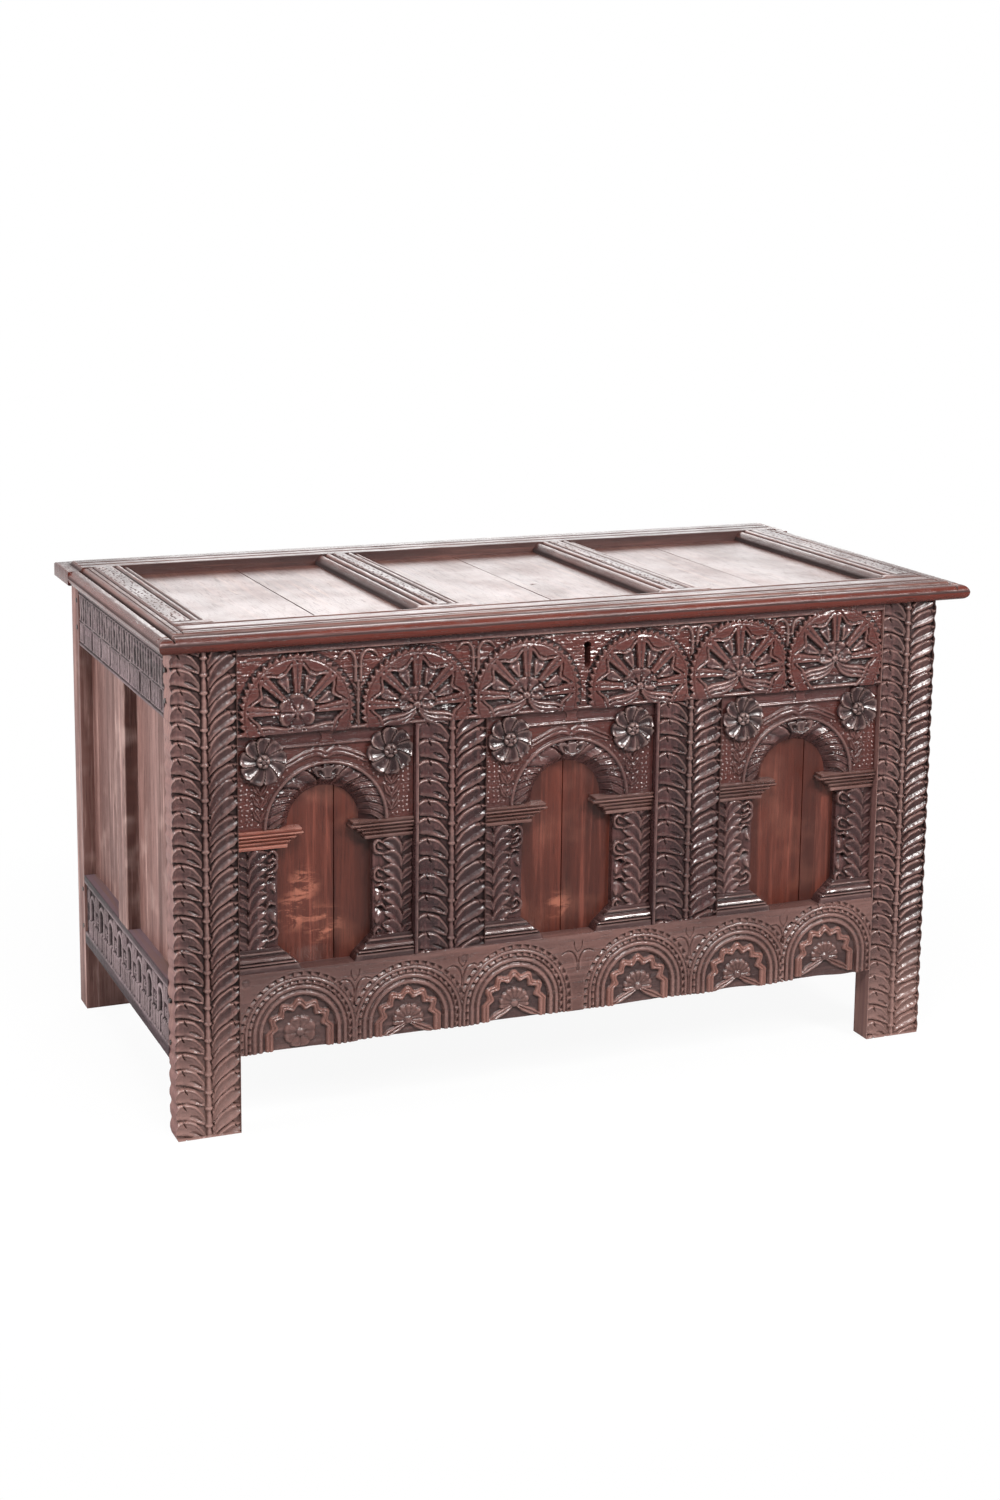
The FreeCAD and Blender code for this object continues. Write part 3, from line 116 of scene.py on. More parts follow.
def uneven(shape: tuple[int, int], cells: Point, rng: Dice) -> Array:
    """Smooth random ups and downs from -1 to 1 over a grid.

    Args:
        shape: Rows and columns of the grid.
        cells: Rows and columns from one random knot to the next.
        rng: The source of the random knots.

    Returns:
        The grid of values.
    """
    rows, cols = (max(2, int(math.ceil(n / c)) + 2) for n, c in zip(shape, cells))
    knots = rng.uniform(-1, 1, (rows, cols))
    at_row = np.arange(shape[0]) / cells[0]
    at_col = np.arange(shape[1]) / cells[1]
    r0, c0 = at_row.astype(int), at_col.astype(int)
    fr = step(at_row - r0, 0, 1)[:, None]
    fc = step(at_col - c0, 0, 1)[None, :]
    first = knots[r0][:, c0] * (1 - fc) + knots[r0][:, c0 + 1] * fc
    second = knots[r0 + 1][:, c0] * (1 - fc) + knots[r0 + 1][:, c0 + 1] * fc
    return first * (1 - fr) + second * fr


def node_box(node: str) -> tuple[Array, Array]:
    """The lowest and highest corner of a CAD node, in millimetres."""
    low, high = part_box(node)
    return np.array(low) / MM, np.array(high) / MM


# ---- relief


class Facing(Enum):
    """Which way a face looks, as its own across, up and outward directions."""

    FRONT = ((1, 0, 0), (0, 0, 1), (0, -1, 0))
    LEFT = ((0, -1, 0), (0, 0, 1), (-1, 0, 0))
    RIGHT = ((0, 1, 0), (0, 0, 1), (1, 0, 0))
    TOP = ((1, 0, 0), (0, 1, 0), (0, 0, 1))

    def place(self, across: Array, up: Array, out: Array) -> Array:
        """Points of the row frame for coordinates on this face."""
        axes = [np.array(axis, float) for axis in self.value]
        return across[..., None] * axes[0] + up[..., None] * axes[1] + out[..., None] * axes[2]


Section = Callable[[Array, Array], Array]


def round_section(side: Array, along: Array) -> Array:
    """A half-round rib."""
    return np.sqrt(np.clip(1 - side**2, 0, 1))


def flat_section(side: Array, along: Array) -> Array:
    """A flat strap with eased edges."""
    return 1 - step(np.abs(side), 0.62, 1)


def vee_section(side: Array, along: Array) -> Array:
    """A vee cut."""
    return 1 - np.abs(side)


def shaped(places: Sequence[float], heights: Sequence[float], end: float = 0.72) -> Section:
    """A section through given heights that sinks towards both ends of its line.

    Args:
        places: Where the heights are, from the right of the line (-1) to its left (1).
        heights: The heights from 0 to 1.
        end: The share of the height that is left at the ends.

    Returns:
        The section.
    """

    def section(side: Array, along: Array) -> Array:
        """The heights at a place beside the line and along it."""
        full = step(along, 0.0, 0.15) * (1 - step(along, 0.9, 1.0))
        return np.interp(side, places, heights) * (end + (1 - end) * full)

    return section


mussel_section = shaped((-1, -0.9, -0.66, -0.4, -0.1, 0.2, 0.46, 0.6, 0.78, 0.9, 0.97, 1),
                        (0.36, 0.50, 0.62, 0.50, 0.44, 0.56, 0.70, 0.66, 1.0, 0.95, 0.74, 0.45))
scoop_section = shaped((-1, -0.92, -0.64, -0.14, 0.2, 0.56, 0.8, 0.91, 0.97, 1),
                       (0.42, 0.66, 0.78, 0.28, 0.38, 0.72, 1.0, 0.94, 0.72, 0.45))
cupped_section = shaped((-1, -0.82, -0.6, 0, 0.6, 0.82, 1), (0.0, 0.9, 0.95, 0.68, 0.95, 0.9, 0.0))
feather_section = shaped((-1, -0.72, -0.42, 0.02, 0.45, 0.75, 1), (0.0, 0.72, 0.95, 0.2, 0.9, 0.8, 0.0))


@dataclass(frozen=True)
class Stroke:
    """A smooth line through points, with a half-width at each of them, in millimetres."""

    points: Sequence[Point]
    widths: Sequence[float]
    samples: int = 5

    def line(self) -> tuple[Array, Array]:
        """The points and half-widths along the line.

        Returns:
            An (n, 2) array of points, and n half-widths.
        """
        knots = np.array(self.points, float)
        ends = np.vstack([2 * knots[0] - knots[1], knots, 2 * knots[-1] - knots[-2]])
        spots, widths = [], []
        for n in range(len(knots) - 1):
            p0, p1, p2, p3 = ends[n : n + 4]
            for k in range(self.samples):
                t = k / self.samples
                curve = 2 * p1 + (p2 - p0) * t + (2 * p0 - 5 * p1 + 4 * p2 - p3) * t**2
                spots.append((curve + (3 * p1 - p0 - 3 * p2 + p3) * t**3) / 2)
                widths.append(self.widths[n] * (1 - t) + self.widths[n + 1] * t)
        spots.append(knots[-1])
        widths.append(self.widths[-1])
        return np.array(spots), np.array(widths)


def placed(x: float, z: float, way: int, *steps: Point) -> list[Point]:
    """Points at steps outwards and up from a place, outwards being left for a way of -1."""
    return [(x + way * out, z + up) for out, up in steps]


def knob(x: float, z: float, radius: float, half: float = 0.4) -> Stroke:
    """A line so short that it stands or is cut as a round knob."""
    return Stroke([(x - half, z), (x + half, z)], (radius, radius))


class Relief:
    """A carved face: heights over a grid in millimetres, 0 being the face of the uncut board."""

    def __init__(self, across: Array, up: Array) -> None:
        """Starts a flat face.

        Args:
            across: The places of its grid lines across.
            up: The places of its grid lines up.
        """
        self.across, self.up = across, up
        self.u, self.v = np.meshgrid(across, up)
        self.h, self.ground, self.clean = (np.zeros(self.u.shape) for _ in range(3))
        self.keep = np.ones((len(up) - 1, len(across) - 1), bool)

    @classmethod
    def over(cls, west: float, east: float, low: float, high: float, pitch: float) -> Relief:
        """A flat face between limits.

        Args:
            west, east, low, high: Its edges.
            pitch: About how far apart the grid lines are.

        Returns:
            The face.
        """
        columns = max(2, round((east - west) / pitch) + 1)
        rows = max(2, round((high - low) / pitch) + 1)
        return cls(np.linspace(west, east, columns), np.linspace(low, high, rows))

    def window(self, west: float, east: float, low: float, high: float) -> Window:
        """The rows and columns between limits."""
        rows = slice(*np.searchsorted(self.up, (low, high)))
        return rows, slice(*np.searchsorted(self.across, (west, east)))

    def near(self, stroke: Stroke) -> tuple[Window, Array, Array] | None:
        """Where the grid lies beside a stroke.

        Args:
            stroke: The line to measure from.

        Returns:
            The window, then for each of its points the signed distance over the half-width, positive to
            the left of the line, and the share of the line's length. None where nothing is in reach.
        """
        line, widths = stroke.line()
        reach = widths.max() + 1
        west, low = line.min(0) - reach
        east, high = line.max(0) + reach
        window = self.window(west, east, low, high)
        u, v = self.u[window][..., None], self.v[window][..., None]
        if not u.size:
            return None
        start, run = line[:-1], line[1:] - line[:-1]
        t = ((u - start[:, 0]) * run[:, 0] + (v - start[:, 1]) * run[:, 1]) / (run**2).sum(1)
        t = np.clip(t, 0, 1)
        du = u - start[:, 0] - t * run[:, 0]
        dv = v - start[:, 1] - t * run[:, 1]
        width = widths[:-1] * (1 - t) + widths[1:] * t
        ratio = np.hypot(du, dv) / width
        best = ratio.argmin(-1)[..., None]
        side = np.sign(run[:, 0] * dv - run[:, 1] * du)
        signed = np.take_along_axis(ratio * np.where(side == 0, 1, side), best, -1)[..., 0]
        along = (np.take_along_axis(t, best, -1) + best)[..., 0] / len(run)
        return window, signed, along

    def lift(self, stroke: Stroke, top: float, floor: float, section: Section = round_section,
             red: float = 0.0) -> None:
        """Leaves a stroke standing between a floor and its top.

        Args:
            stroke: Where it runs.
            top: Its highest height.
            floor: The height at its edges.
            section: Its section from 0 to 1.
            red: How much of the red stain it keeps.
        """
        found = self.near(stroke)
        if found is None:
            return
        window, side, along = found
        height = floor + (top - floor) * section(side, along)
        raised = (np.abs(side) < 1) & (height > self.h[window])
        self.h[window] = np.where(raised, height, self.h[window])
        self.ground[window] = np.where(raised, red, self.ground[window])

    def gouge(self, stroke: Stroke, depth: float, section: Section = round_section) -> None:
        """Cuts a stroke into what stands there.

        Args:
            stroke: Where it runs.
            depth: How deep the cut is.
            section: Its section from 0 to 1.
        """
        found = self.near(stroke)
        if found is None:
            return
        window, side, along = found
        self.h[window] -= depth * np.where(np.abs(side) < 1, section(side, along), 0)

    def sink(self, west: float, east: float, low: float, high: float, level: float,
             red: float = 0.0) -> None:
        """Takes a field down to a level.

        Args:
            west, east, low, high: Its edges.
            level: The height of its ground.
            red: How much of the red stain it keeps.
        """
        window = self.window(west, east, low, high)
        self.h[window] = level
        self.ground[window] = red

    def polar(self, across: float, up: float, reach: float) -> tuple[Window, Array, Array]:
        """What lies round a point.

        Args:
            across, up: The point.
            reach: How far to look.

        Returns:
            The window, and each grid point's distance and angle in degrees from the point.
        """
        window = self.window(across - reach, across + reach, up - reach, up + reach)
        du, dv = self.u[window] - across, self.v[window] - up
        return window, np.hypot(du, dv), np.degrees(np.arctan2(dv, du))

    def paint(self, window: Window, where: Array, height: Array | float, red: float = 0.0) -> None:
        """Sets the height in part of a window."""
        self.h[window] = np.where(where, height, self.h[window])
        self.ground[window] = np.where(where, red, self.ground[window])

    def trim(self, distance: Array) -> None:
        """Cuts an opening, with the edge of the wood brought onto its outline.

        Args:
            distance: Each grid point's distance from the outline, below 0 in the opening.
        """
        centre = (distance[:-1, :-1] + distance[1:, :-1] + distance[:-1, 1:] + distance[1:, 1:]) / 4
        gone = centre < 0
        self.keep &= ~gone
        touched = np.zeros(self.u.shape, bool)
        for rows, cols in ((0, 0), (0, 1), (1, 0), (1, 1)):
            touched[rows : rows + gone.shape[0], cols : cols + gone.shape[1]] |= gone
        slope_v, slope_u = np.gradient(distance, self.up, self.across)
        steep = np.maximum(slope_u**2 + slope_v**2, 1e-6)
        inner = touched & (np.abs(distance) < 2 * (self.across[1] - self.across[0]))
        self.u = self.u - np.where(inner, distance * slope_u / steep, 0)
        self.v = self.v - np.where(inner, distance * slope_v / steep, 0)

    def age(self, rng: Dice, amount: float = 0.16) -> None:
        """Adds the small unevenness of hand work and of wear, below the face of the board.

        Args:
            rng: The source of the unevenness.
            amount: Its height.
        """
        pitch = self.across[1] - self.across[0]
        for spread, share in ((5, 1.0), (2.2, 0.5)):
            self.h += share * amount * uneven(self.h.shape, (spread / pitch, spread / pitch), rng)
        self.h = np.minimum(self.h, 0)

    def shades(self) -> dict[str, Array]:
        """What the finish reads from the relief: hollows of soiling and painted shade, worn tops and
        stained ground.
        """
        pitch = self.across[1] - self.across[0]
        cells = max(1, round(3.0 / pitch))
        near = self.h - blurred(self.h, cells)
        wide = self.h - blurred(self.h, cells * 3)
        # Hollows are darkened for soiling and, as a painted shade, for the shade that falls in them.
        soil_and_shade = np.clip(-near / 1.6, 0, 1) * 0.6 + np.clip(-wide / 3.5, 0, 1) * 0.5
        return {"hollow": soil_and_shade * (1 - self.clean),
                "worn": np.clip(near / 1.3, 0, 1) * (1 - 0.7 * self.ground),
                "ground": self.ground}


# ---- meshes


@dataclass
class MeshDraft:
    """Points and faces of a mesh before Blender gets them."""

    points: list[Array] = field(default_factory=list)
    quads: list[Array] = field(default_factory=list)
    loops: list[Array] = field(default_factory=list)
    count: int = 0

    def add_points(self, points: Array) -> int:
        """Adds points.

        Args:
            points: Their places, in millimetres.

        Returns:
            The number of the first.
        """
        first = self.count
        self.points.append(points.reshape(-1, 3))
        self.count += len(self.points[-1])
        return first

    def build(self, name: str, shades: dict[str, Array], sharp: float) -> bpy.types.Object:
        """Makes the object.

        Args:
            name: The object's name.
            shades: Values for the first points, by attribute name; the rest get 0.
            sharp: The angle in degrees above which an edge stays crisp.

        Returns:
            The new object, in the scene, in metres.
        """
        points = np.vstack(self.points) * MM
        quads = np.vstack(self.quads) if self.quads else np.empty((0, 4), int)
        corners = np.concatenate([quads.ravel(), *self.loops]).astype(np.int32)
        sizes = np.array([4] * len(quads) + [len(loop) for loop in self.loops], np.int32)
        starts = np.concatenate([[0], np.cumsum(sizes)[:-1]]).astype(np.int32)
        mesh = bpy.data.meshes.new(name)
        mesh.vertices.add(len(points))
        mesh.vertices.foreach_set("co", points.astype(np.float32).ravel())
        mesh.loops.add(len(corners))
        mesh.loops.foreach_set("vertex_index", corners)
        mesh.polygons.add(len(sizes))
        mesh.polygons.foreach_set("loop_start", starts)
        mesh.update(calc_edges=True)
        mesh.validate()
        size = next(iter(shades.values())).size
        # A side mark is added as well: 0 on the face points, 1 on the edge and back points, where some
        # finishes paint light.
        for shade, values in (*shades.items(), ("side", np.zeros(size))):
            attribute = mesh.attributes.new(shade, "FLOAT", "POINT")
            full = np.full(len(mesh.vertices), float(shade == "side"), np.float32)
            full[: values.size] = values.ravel()
            attribute.data.foreach_set("value", full)
        mesh.shade_smooth()
        mesh.set_sharp_from_angle(angle=math.radians(sharp))
        return added(name, mesh)


def grid_quads(rows: int, cols: int, keep: Array, first: int, flip: bool) -> Array:
    """The faces of a grid of points.

    Args:
        rows: How many rows of points.
        cols: How many columns of points.
        keep: Which cells are there.
        first: The number of the first point.
        flip: Whether the faces look the other way.

    Returns:
        Four point numbers for each kept cell.
    """
    number = np.arange(rows * cols).reshape(rows, cols) + first
    a, b = number[:-1, :-1][keep], number[:-1, 1:][keep]
    c, d = number[1:, 1:][keep], number[1:, :-1][keep]
    return np.stack([d, c, b, a] if flip else [a, b, c, d], 1)


def rim_loops(quads: Array) -> list[list[int]]:
    """The closed loops of points round the open edges of some faces.

    Args:
        quads: Four point numbers for each face.

    Returns:
        The point numbers of each loop, in the faces' own direction.
    """
    starts, ends = quads.ravel(), np.roll(quads, -1, axis=1).ravel()
    top = int(max(starts.max(), ends.max())) + 1
    forward = starts.astype(np.int64) * top + ends
    backward = ends.astype(np.int64) * top + starts
    open_edges = ~np.isin(forward, backward)
    after = dict(zip(starts[open_edges].tolist(), ends[open_edges].tolist()))
    loops = []
    while after:
        loop = [next(iter(after))]
        while loop[-1] in after:
            loop.append(after.pop(loop[-1]))
        loops.append(loop[:-1])
    return loops


@dataclass
class Board:
    """A closed piece of wood made from the relief of its face.

    A lower layer, if any, is its underside, as heights above the back. Otherwise the back is flat, and a
    cut opening is a pit that ends half a millimetre before it.
    """

    name: str
    relief: Relief
    facing: Facing
    face_at: float
    thickness: float
    under: Array | None = None
    behind: Callable[[Array, Array], tuple[Array, Array]] | None = None
    sharp: float = 48.0

    @classmethod
    def front(cls, name: str, relief: Relief, node: str, **more: object) -> Board:
        """A board whose face and back lie where those of a CAD node at the front do."""
        low, high = node_box(node)
        return cls(name, relief, Facing.FRONT, -low[1], high[1] - low[1], **more)

    def build(self) -> bpy.types.Object:
        """Makes the mesh: the face, the edges and the back.

        Returns:
            The new object.
        """
        relief = self.relief
        draft = MeshDraft()
        rows, cols = relief.h.shape
        face = self.facing.place(relief.u, relief.v, self.face_at + relief.h)
        draft.add_points(face)
        quads = grid_quads(rows, cols, relief.keep, 0, False)
        draft.quads.append(quads)
        loops = rim_loops(quads)
        if self.under is not None:
            u, v = self.behind(relief.u, relief.v) if self.behind else (relief.u, relief.v)
            first = draft.add_points(self.facing.place(u, v, self.face_at - self.thickness + self.under))
            draft.quads.append(grid_quads(rows, cols, relief.keep, first, True))
            for loop in loops:
                near = np.array(loop)
                following = np.roll(near, -1)
                draft.quads.append(np.stack([following, near, near + first, following + first], 1))
            shades = {name: np.stack([values, values * (name == "ground")])
                      for name, values in relief.shades().items()}
            return draft.build(self.name, shades, self.sharp)
        longest = max(loops, key=len)
        for loop in loops:
            near = np.array(loop)
            pit = 0.0 if loop is longest else 0.5
            out = np.full(len(near), self.face_at - self.thickness + pit)
            first = draft.add_points(self.facing.place(relief.u.ravel()[near], relief.v.ravel()[near], out))
            far = np.arange(first, first + len(near))
            draft.quads.append(np.stack([np.roll(near, -1), near, far, np.roll(far, -1)], 1))
            draft.loops.append(far[::-1])
        return draft.build(self.name, relief.shades(), self.sharp)


@dataclass
class Disc:
    """A round carved piece: heights over rings and spokes."""

    name: str
    centre: Point
    face_at: float
    radius: float
    height: Callable[[Array, Array], Array]
    outline: Callable[[Array], Array]
    rings: int = 34
    spokes: int = 132

    def build(self) -> bpy.types.Object:
        """Makes the mesh, closed at its rim and back.

        Returns:
            The new object.
        """
        share = np.linspace(0.02, 1, self.rings)[:, None]
        turn = np.linspace(0, 2 * math.pi, self.spokes, endpoint=False)[None, :]
        radius = share * self.outline(turn) * self.radius
        height = self.height(radius / self.radius, np.broadcast_to(turn, radius.shape))
        u = self.centre[0] + radius * np.cos(turn)
        v = self.centre[1] + radius * np.sin(turn)
        draft = MeshDraft()
        draft.add_points(Facing.FRONT.place(u, v, self.face_at + height))
        number = np.arange(self.rings * self.spokes).reshape(self.rings, self.spokes)
        after = np.roll(number, -1, axis=1)
        draft.quads.append(
            np.stack([number[:-1].ravel(), number[1:].ravel(), after[1:].ravel(), after[:-1].ravel()], 1))
        draft.loops.append(number[0])
        rim = number[-1]
        first = draft.add_points(Facing.FRONT.place(u[-1], v[-1], np.full(self.spokes, self.face_at)))
        far = np.arange(first, first + self.spokes)
        draft.quads.append(np.stack([rim, far, np.roll(far, -1), np.roll(rim, -1)], 1))
        draft.loops.append(far[::-1])
        # The rings' hollows take the finish's soiling and painted shade, their tops its wear.
        ringed = height - blurred(height, 3)
        shades = {"hollow": np.clip(-ringed / 1.2, 0, 1), "worn": np.clip(ringed / 1.0, 0, 1),
                  "ground": np.zeros_like(height)}
        return draft.build(self.name, shades, 46.0)


# ---- shader graphs


class Port:
    """A shader socket that takes part in sums: an expression on ports adds the Math nodes it needs."""

    def __init__(self, graph: Graph, socket: bpy.types.NodeSocket) -> None:
        """Wraps an output socket."""
        self.graph, self.socket = graph, socket

    def _sum(self, operation: str, *terms: Port | float) -> Port:
        """A Math node over these terms."""
        return self.graph.node("Math", {"operation": operation}, dict(enumerate(terms)))

    def __add__(self, other: Port | float) -> Port:
        """Self plus other."""
        return self._sum("ADD", self, other)

    __radd__ = __add__

    def __sub__(self, other: Port | float) -> Port:
        """Self less other."""
        return self._sum("SUBTRACT", self, other)

    def __rsub__(self, other: Port | float) -> Port:
        """Other less self."""
        return self._sum("SUBTRACT", other, self)

    def __mul__(self, other: Port | float) -> Port:
        """Self times other."""
        return self._sum("MULTIPLY", self, other)

    __rmul__ = __mul__

    def over(self, low: float, high: float) -> Port:
        """A smooth 0 to 1 as self goes from low to high."""
        return self.graph.node("MapRange", {"interpolation_type": "SMOOTHSTEP"},
                               {"Value": self, "From Min": low, "From Max": high})


class Noise(Enum):
    """The noises of the finishes: how fine, how many finer layers, how strong these are, and the warp."""

    BROAD = (16.0, 3.0, 0.55, 0.6)
    STREAKS = (85.0, 5.0, 0.62, 0.4)
    FINE = (260.0, 3.0, 0.6, 0.3)
    PORES = (620.0, 3.0, 0.6, 0.0)
    MOTTLE = (9.0, 3.0, 0.6, 0.0)
    CLOUDS = (3.2, 3.0, 0.6, 0.0)
    NICKS = (210.0, 2.0, 0.6, 0.5)
    RAGGED = (70.0, 5.0, 0.7, 0.6)
    SCALE = (140.0, 4.0, 0.65, 0.0)
    RUST = (34.0, 5.0, 0.7, 0.0)


class Graph:
    """The node tree of a material or of the world."""

    def __init__(self, owner: bpy.types.Material | bpy.types.World) -> None:
        """Empties a node tree and starts in it.

        Args:
            owner: The material or world.
        """
        owner.use_nodes = True
        self.tree = owner.node_tree
        self.tree.nodes.clear()

    def node(self, kind: str, settings: dict | None = None, sockets: dict | None = None,
             output: int | str = 0) -> Port:
        """Adds a node.

        Args:
            kind: The node's type, after its common beginning.
            settings: Its settings, set first; "stops" fills a colour ramp.
            sockets: Values or ports for its inputs, by name or place.
            output: Which output the result stands for.

        Returns:
            The chosen output.
        """
        made = self.tree.nodes.new("ShaderNode" + kind)
        for key, value in (settings or {}).items():
            if key == "stops":
                ramp = made.color_ramp.elements
                while len(ramp) < len(value):
                    ramp.new(1.0)
                for stop, (place, colour) in zip(ramp, value):
                    stop.position, stop.color = place, colour
            else:
                setattr(made, key, value)
        for key, value in (sockets or {}).items():
            if isinstance(value, Port):
                self.tree.links.new(value.socket, made.inputs[key])
            else:
                made.inputs[key].default_value = value
        chosen = made.outputs[output] if len(made.outputs) else None
        return Port(self, chosen)

    def mix(self, share: Port | float, first: Port | tuple, second: Port | tuple) -> Port:
        """Two colours mixed by a share of the second."""
        return self.node("Mix", {"data_type": "RGBA"}, {0: share, 6: first, 7: second}, 2)

    def noise(self, place: Port, noise: Noise) -> Port:
        """One of the noises at a place, from 0 to 1."""
        names = ("Scale", "Detail", "Roughness", "Distortion")
        return self.node("TexNoise", None, {"Vector": place, **dict(zip(names, noise.value))})

    def vector(self, operation: str, first: Port, second: Port | tuple) -> Port:
        """A vector sum."""
        return self.node("VectorMath", {"operation": operation}, {0: first, 1: second})

    def shade(self, name: str) -> Port:
        """A value that the mesh carries, 0 where it has none."""
        return self.node("Attribute", {"attribute_name": name}, None, "Fac")

    def read(self, kind: str, output: str) -> Port:
        """One output of a node without inputs."""
        return self.node(kind, None, None, output)


def added(name: str, data: bpy.types.ID) -> bpy.types.Object:
    """Puts a mesh, lamp or camera into the scene.

    Args:
        name: The object's name.
        data: What it shows.

    Returns:
        The object.
    """
    made = bpy.data.objects.new(name, data)
    bpy.context.scene.collection.objects.link(made)
    return made


def tint(code: str) -> tuple[float, ...]:
    """A colour of the scene.

    Args:
        code: Its six-figure web code.

    Returns:
        Its red, green, blue and opacity.
    """
    levels = [int(code[n : n + 2], 16) / 255 for n in (0, 2, 4)]
    linear = [c / 12.92 if c <= 0.04045 else ((c + 0.055) / 1.055) ** 2.4 for c in levels]
    return (*linear, 1.0)


class Grain(Enum):
    """Which way the fibres of a board run."""

    ACROSS = (0.045, 1.0, 1.0)
    INWARD = (1.0, 0.045, 1.0)
    UPRIGHT = (1.0, 1.0, 0.045)


SOIL_AND_SHADE = "170c0c"
PORE_DARK = "170d0a"
# Heights in metres where the painted floor-bounce light starts and where it is at full strength.
FLOOR_BOUNCE_HEIGHTS = (0.24, 0.02)


@dataclass(frozen=True)
class OakFinish:
    """Waxed oak: streaked colour, pores along the fibres, soiling and painted shade in the hollows and wear
    on the tops.
    """

    name: str
    deep: str
    body: str
    streak: str
    worn: str
    stain: str = "5e2a1d"
    gloss: float = 0.2
    dull: float = 0.4
    coat: float = 0.3
    figure: float = 1.0
    patches: float = 0.0
    bump: float = 0.6
    rough: float = 0.0009
    soot: float = 0.1
    scuffs: tuple[Spot, ...] = ()
    scuff: str = "ad6a54"
    # Colour of the side faces, painted light: the glare on a stile's side, the lit ledges of an end rail.
    side: str = ""
    shine: float = 0.0
    soil_and_shade_share: float = 0.8
    specular: float = 0.5
    floor_bounce_light: float = 0.0

    def material(self, grain: Grain) -> bpy.types.Material:
        """The finish for boards whose fibres run this way.

        Args:
            grain: The fibre direction.

        Returns:
            The material, made once for each direction.
        """
        title = f"{self.name}_{grain.name.lower()}"
        known = bpy.data.materials.get(title)
        if known:
            return known
        made = bpy.data.materials.new(title)
        graph = Graph(made)
        place = graph.read("TexCoord", "Object")
        luck = graph.read("ObjectInfo", "Random")
        shift = graph.node("CombineXYZ", None, {0: luck * 3.1, 1: luck * 1.7, 2: luck * 2.3})
        own = graph.vector("ADD", place, shift)
        fibre = graph.vector("MULTIPLY", own, grain.value)
        streaks = graph.noise(fibre, Noise.STREAKS)
        mottle = graph.noise(own, Noise.MOTTLE)
        pores = graph.noise(fibre, Noise.PORES).over(0.56, 0.68)
        ground, hollow = graph.shade("ground"), graph.shade("hollow")

        broad = graph.noise(fibre, Noise.BROAD)
        colour = graph.mix(broad.over(0.32, 0.68), tint(self.deep), tint(self.body))
        fine = graph.noise(fibre, Noise.FINE)
        layers = [(streaks.over(0.5, 0.72) * (0.75 * self.figure), self.streak),
                  (streaks.over(0.46, 0.3) * (0.55 * self.figure), self.deep),
                  (fine.over(0.5, 0.64) * (0.35 * self.figure), self.deep)]
        if self.patches:
            layers.append((mottle.over(0.52, 0.7) * self.patches, self.worn))
        layers += [(self._rubbed(graph, place, spot), self.scuff) for spot in self.scuffs]
        # The ground stain (on the end rails a painted shade in the recesses), wear on the tops, soiling and
        # painted shade in the hollows, pores and random clouds.
        layers += [(ground * 0.85, self.stain),
                   (graph.shade("worn") * (mottle * 0.9 + 0.2) * 0.75, self.worn),
                   (hollow * self.soil_and_shade_share, SOIL_AND_SHADE),
                   (pores * 0.35, PORE_DARK),
                   (graph.noise(own, Noise.CLOUDS).over(0.42, 0.68) * 0.4, self.deep)]
        # Painted light: low down the colour turns towards the worn colour, standing for light bounced up
        # from the white floor.
        if self.floor_bounce_light:
            low = graph.node("SeparateXYZ", None, {0: place}, "Z").over(*FLOOR_BOUNCE_HEIGHTS)
            layers.append((low * self.floor_bounce_light, self.worn))
        for share, code in layers:
            colour = graph.mix(share, colour, tint(code))

        roughness = self.gloss + mottle.over(0.35, 0.75) * (self.dull - self.gloss) + hollow * self.soot
        roughness = roughness + pores * 0.12 - ground * self.shine
        wax = (1.0 - hollow) * self.coat
        # Painted light: the side faces take a lighter colour, less waxed and rougher.
        if self.side:
            painted_side_light = graph.shade("side").over(0.0, 0.05)
            side_light_colour = graph.mix(streaks.over(0.42, 0.66), tint(self.streak), tint(self.side))
            colour = graph.mix(painted_side_light, colour, side_light_colour)
            roughness, wax = roughness + painted_side_light * 0.25, wax * (1.0 - painted_side_light)
        nicks = graph.noise(own, Noise.NICKS)
        height = streaks * 0.6 + pores * -0.6 + mottle * 0.4 + nicks * 0.5
        normal = graph.node("Bump", None,
                            {"Strength": self.bump, "Distance": self.rough, "Height": height})
        wood = graph.node("BsdfPrincipled", None,
                          {"Base Color": colour, "Roughness": roughness, "Normal": normal,
                           "Specular IOR Level": self.specular, "Coat Weight": wax, "Coat Roughness": 0.14})
        graph.node("OutputMaterial", None, {"Surface": wood})
        return made

    @staticmethod
    def _rubbed(graph: Graph, place: Port, spot: Spot) -> Port:
        """The ragged mask of a rubbed spot.

        Args:
            graph: The material's nodes.
            place: The place on the board.
            spot: Its centre and its reach, in metres.

        Returns:
            The mask, 0 outside the spot.
        """
        *centre, reach = spot
        apart = graph.node("VectorMath", {"operation": "DISTANCE"}, {0: place, 1: centre}, "Value")
        ragged = graph.noise(graph.vector("MULTIPLY", place, (0.35, 1.0, 1.0)), Noise.RAGGED)
        return apart.over(reach, reach * 0.2) * ragged.over(0.47, 0.6) * 0.6


@dataclass(frozen=True)
class IronFinish:
    """Blackened iron, rusty in places."""

    name: str = "blackened_iron"
    body: str = "2b2826"
    rust: str = "4a2c1e"

    def material(self) -> bpy.types.Material:
        """The finish, made once."""
        known = bpy.data.materials.get(self.name)
        if known:
            return known
        made = bpy.data.materials.new(self.name)
        graph = Graph(made)
        place = graph.read("TexCoord", "Object")
        scale = graph.noise(place, Noise.SCALE)
        spots = graph.noise(place, Noise.RUST)
        colour = graph.mix(spots.over(0.5, 0.68), tint(self.body), tint(self.rust))
        normal = graph.node("Bump", None, {"Strength": 0.4, "Distance": 0.0007, "Height": scale})
        iron = graph.node("BsdfPrincipled", None,
                          {"Base Color": colour, "Metallic": 0.9 - spots.over(0.5, 0.68) * 0.7,
                           "Roughness": 0.42 + scale * 0.3, "Normal": normal})
        graph.node("OutputMaterial", None, {"Surface": iron})
        return made


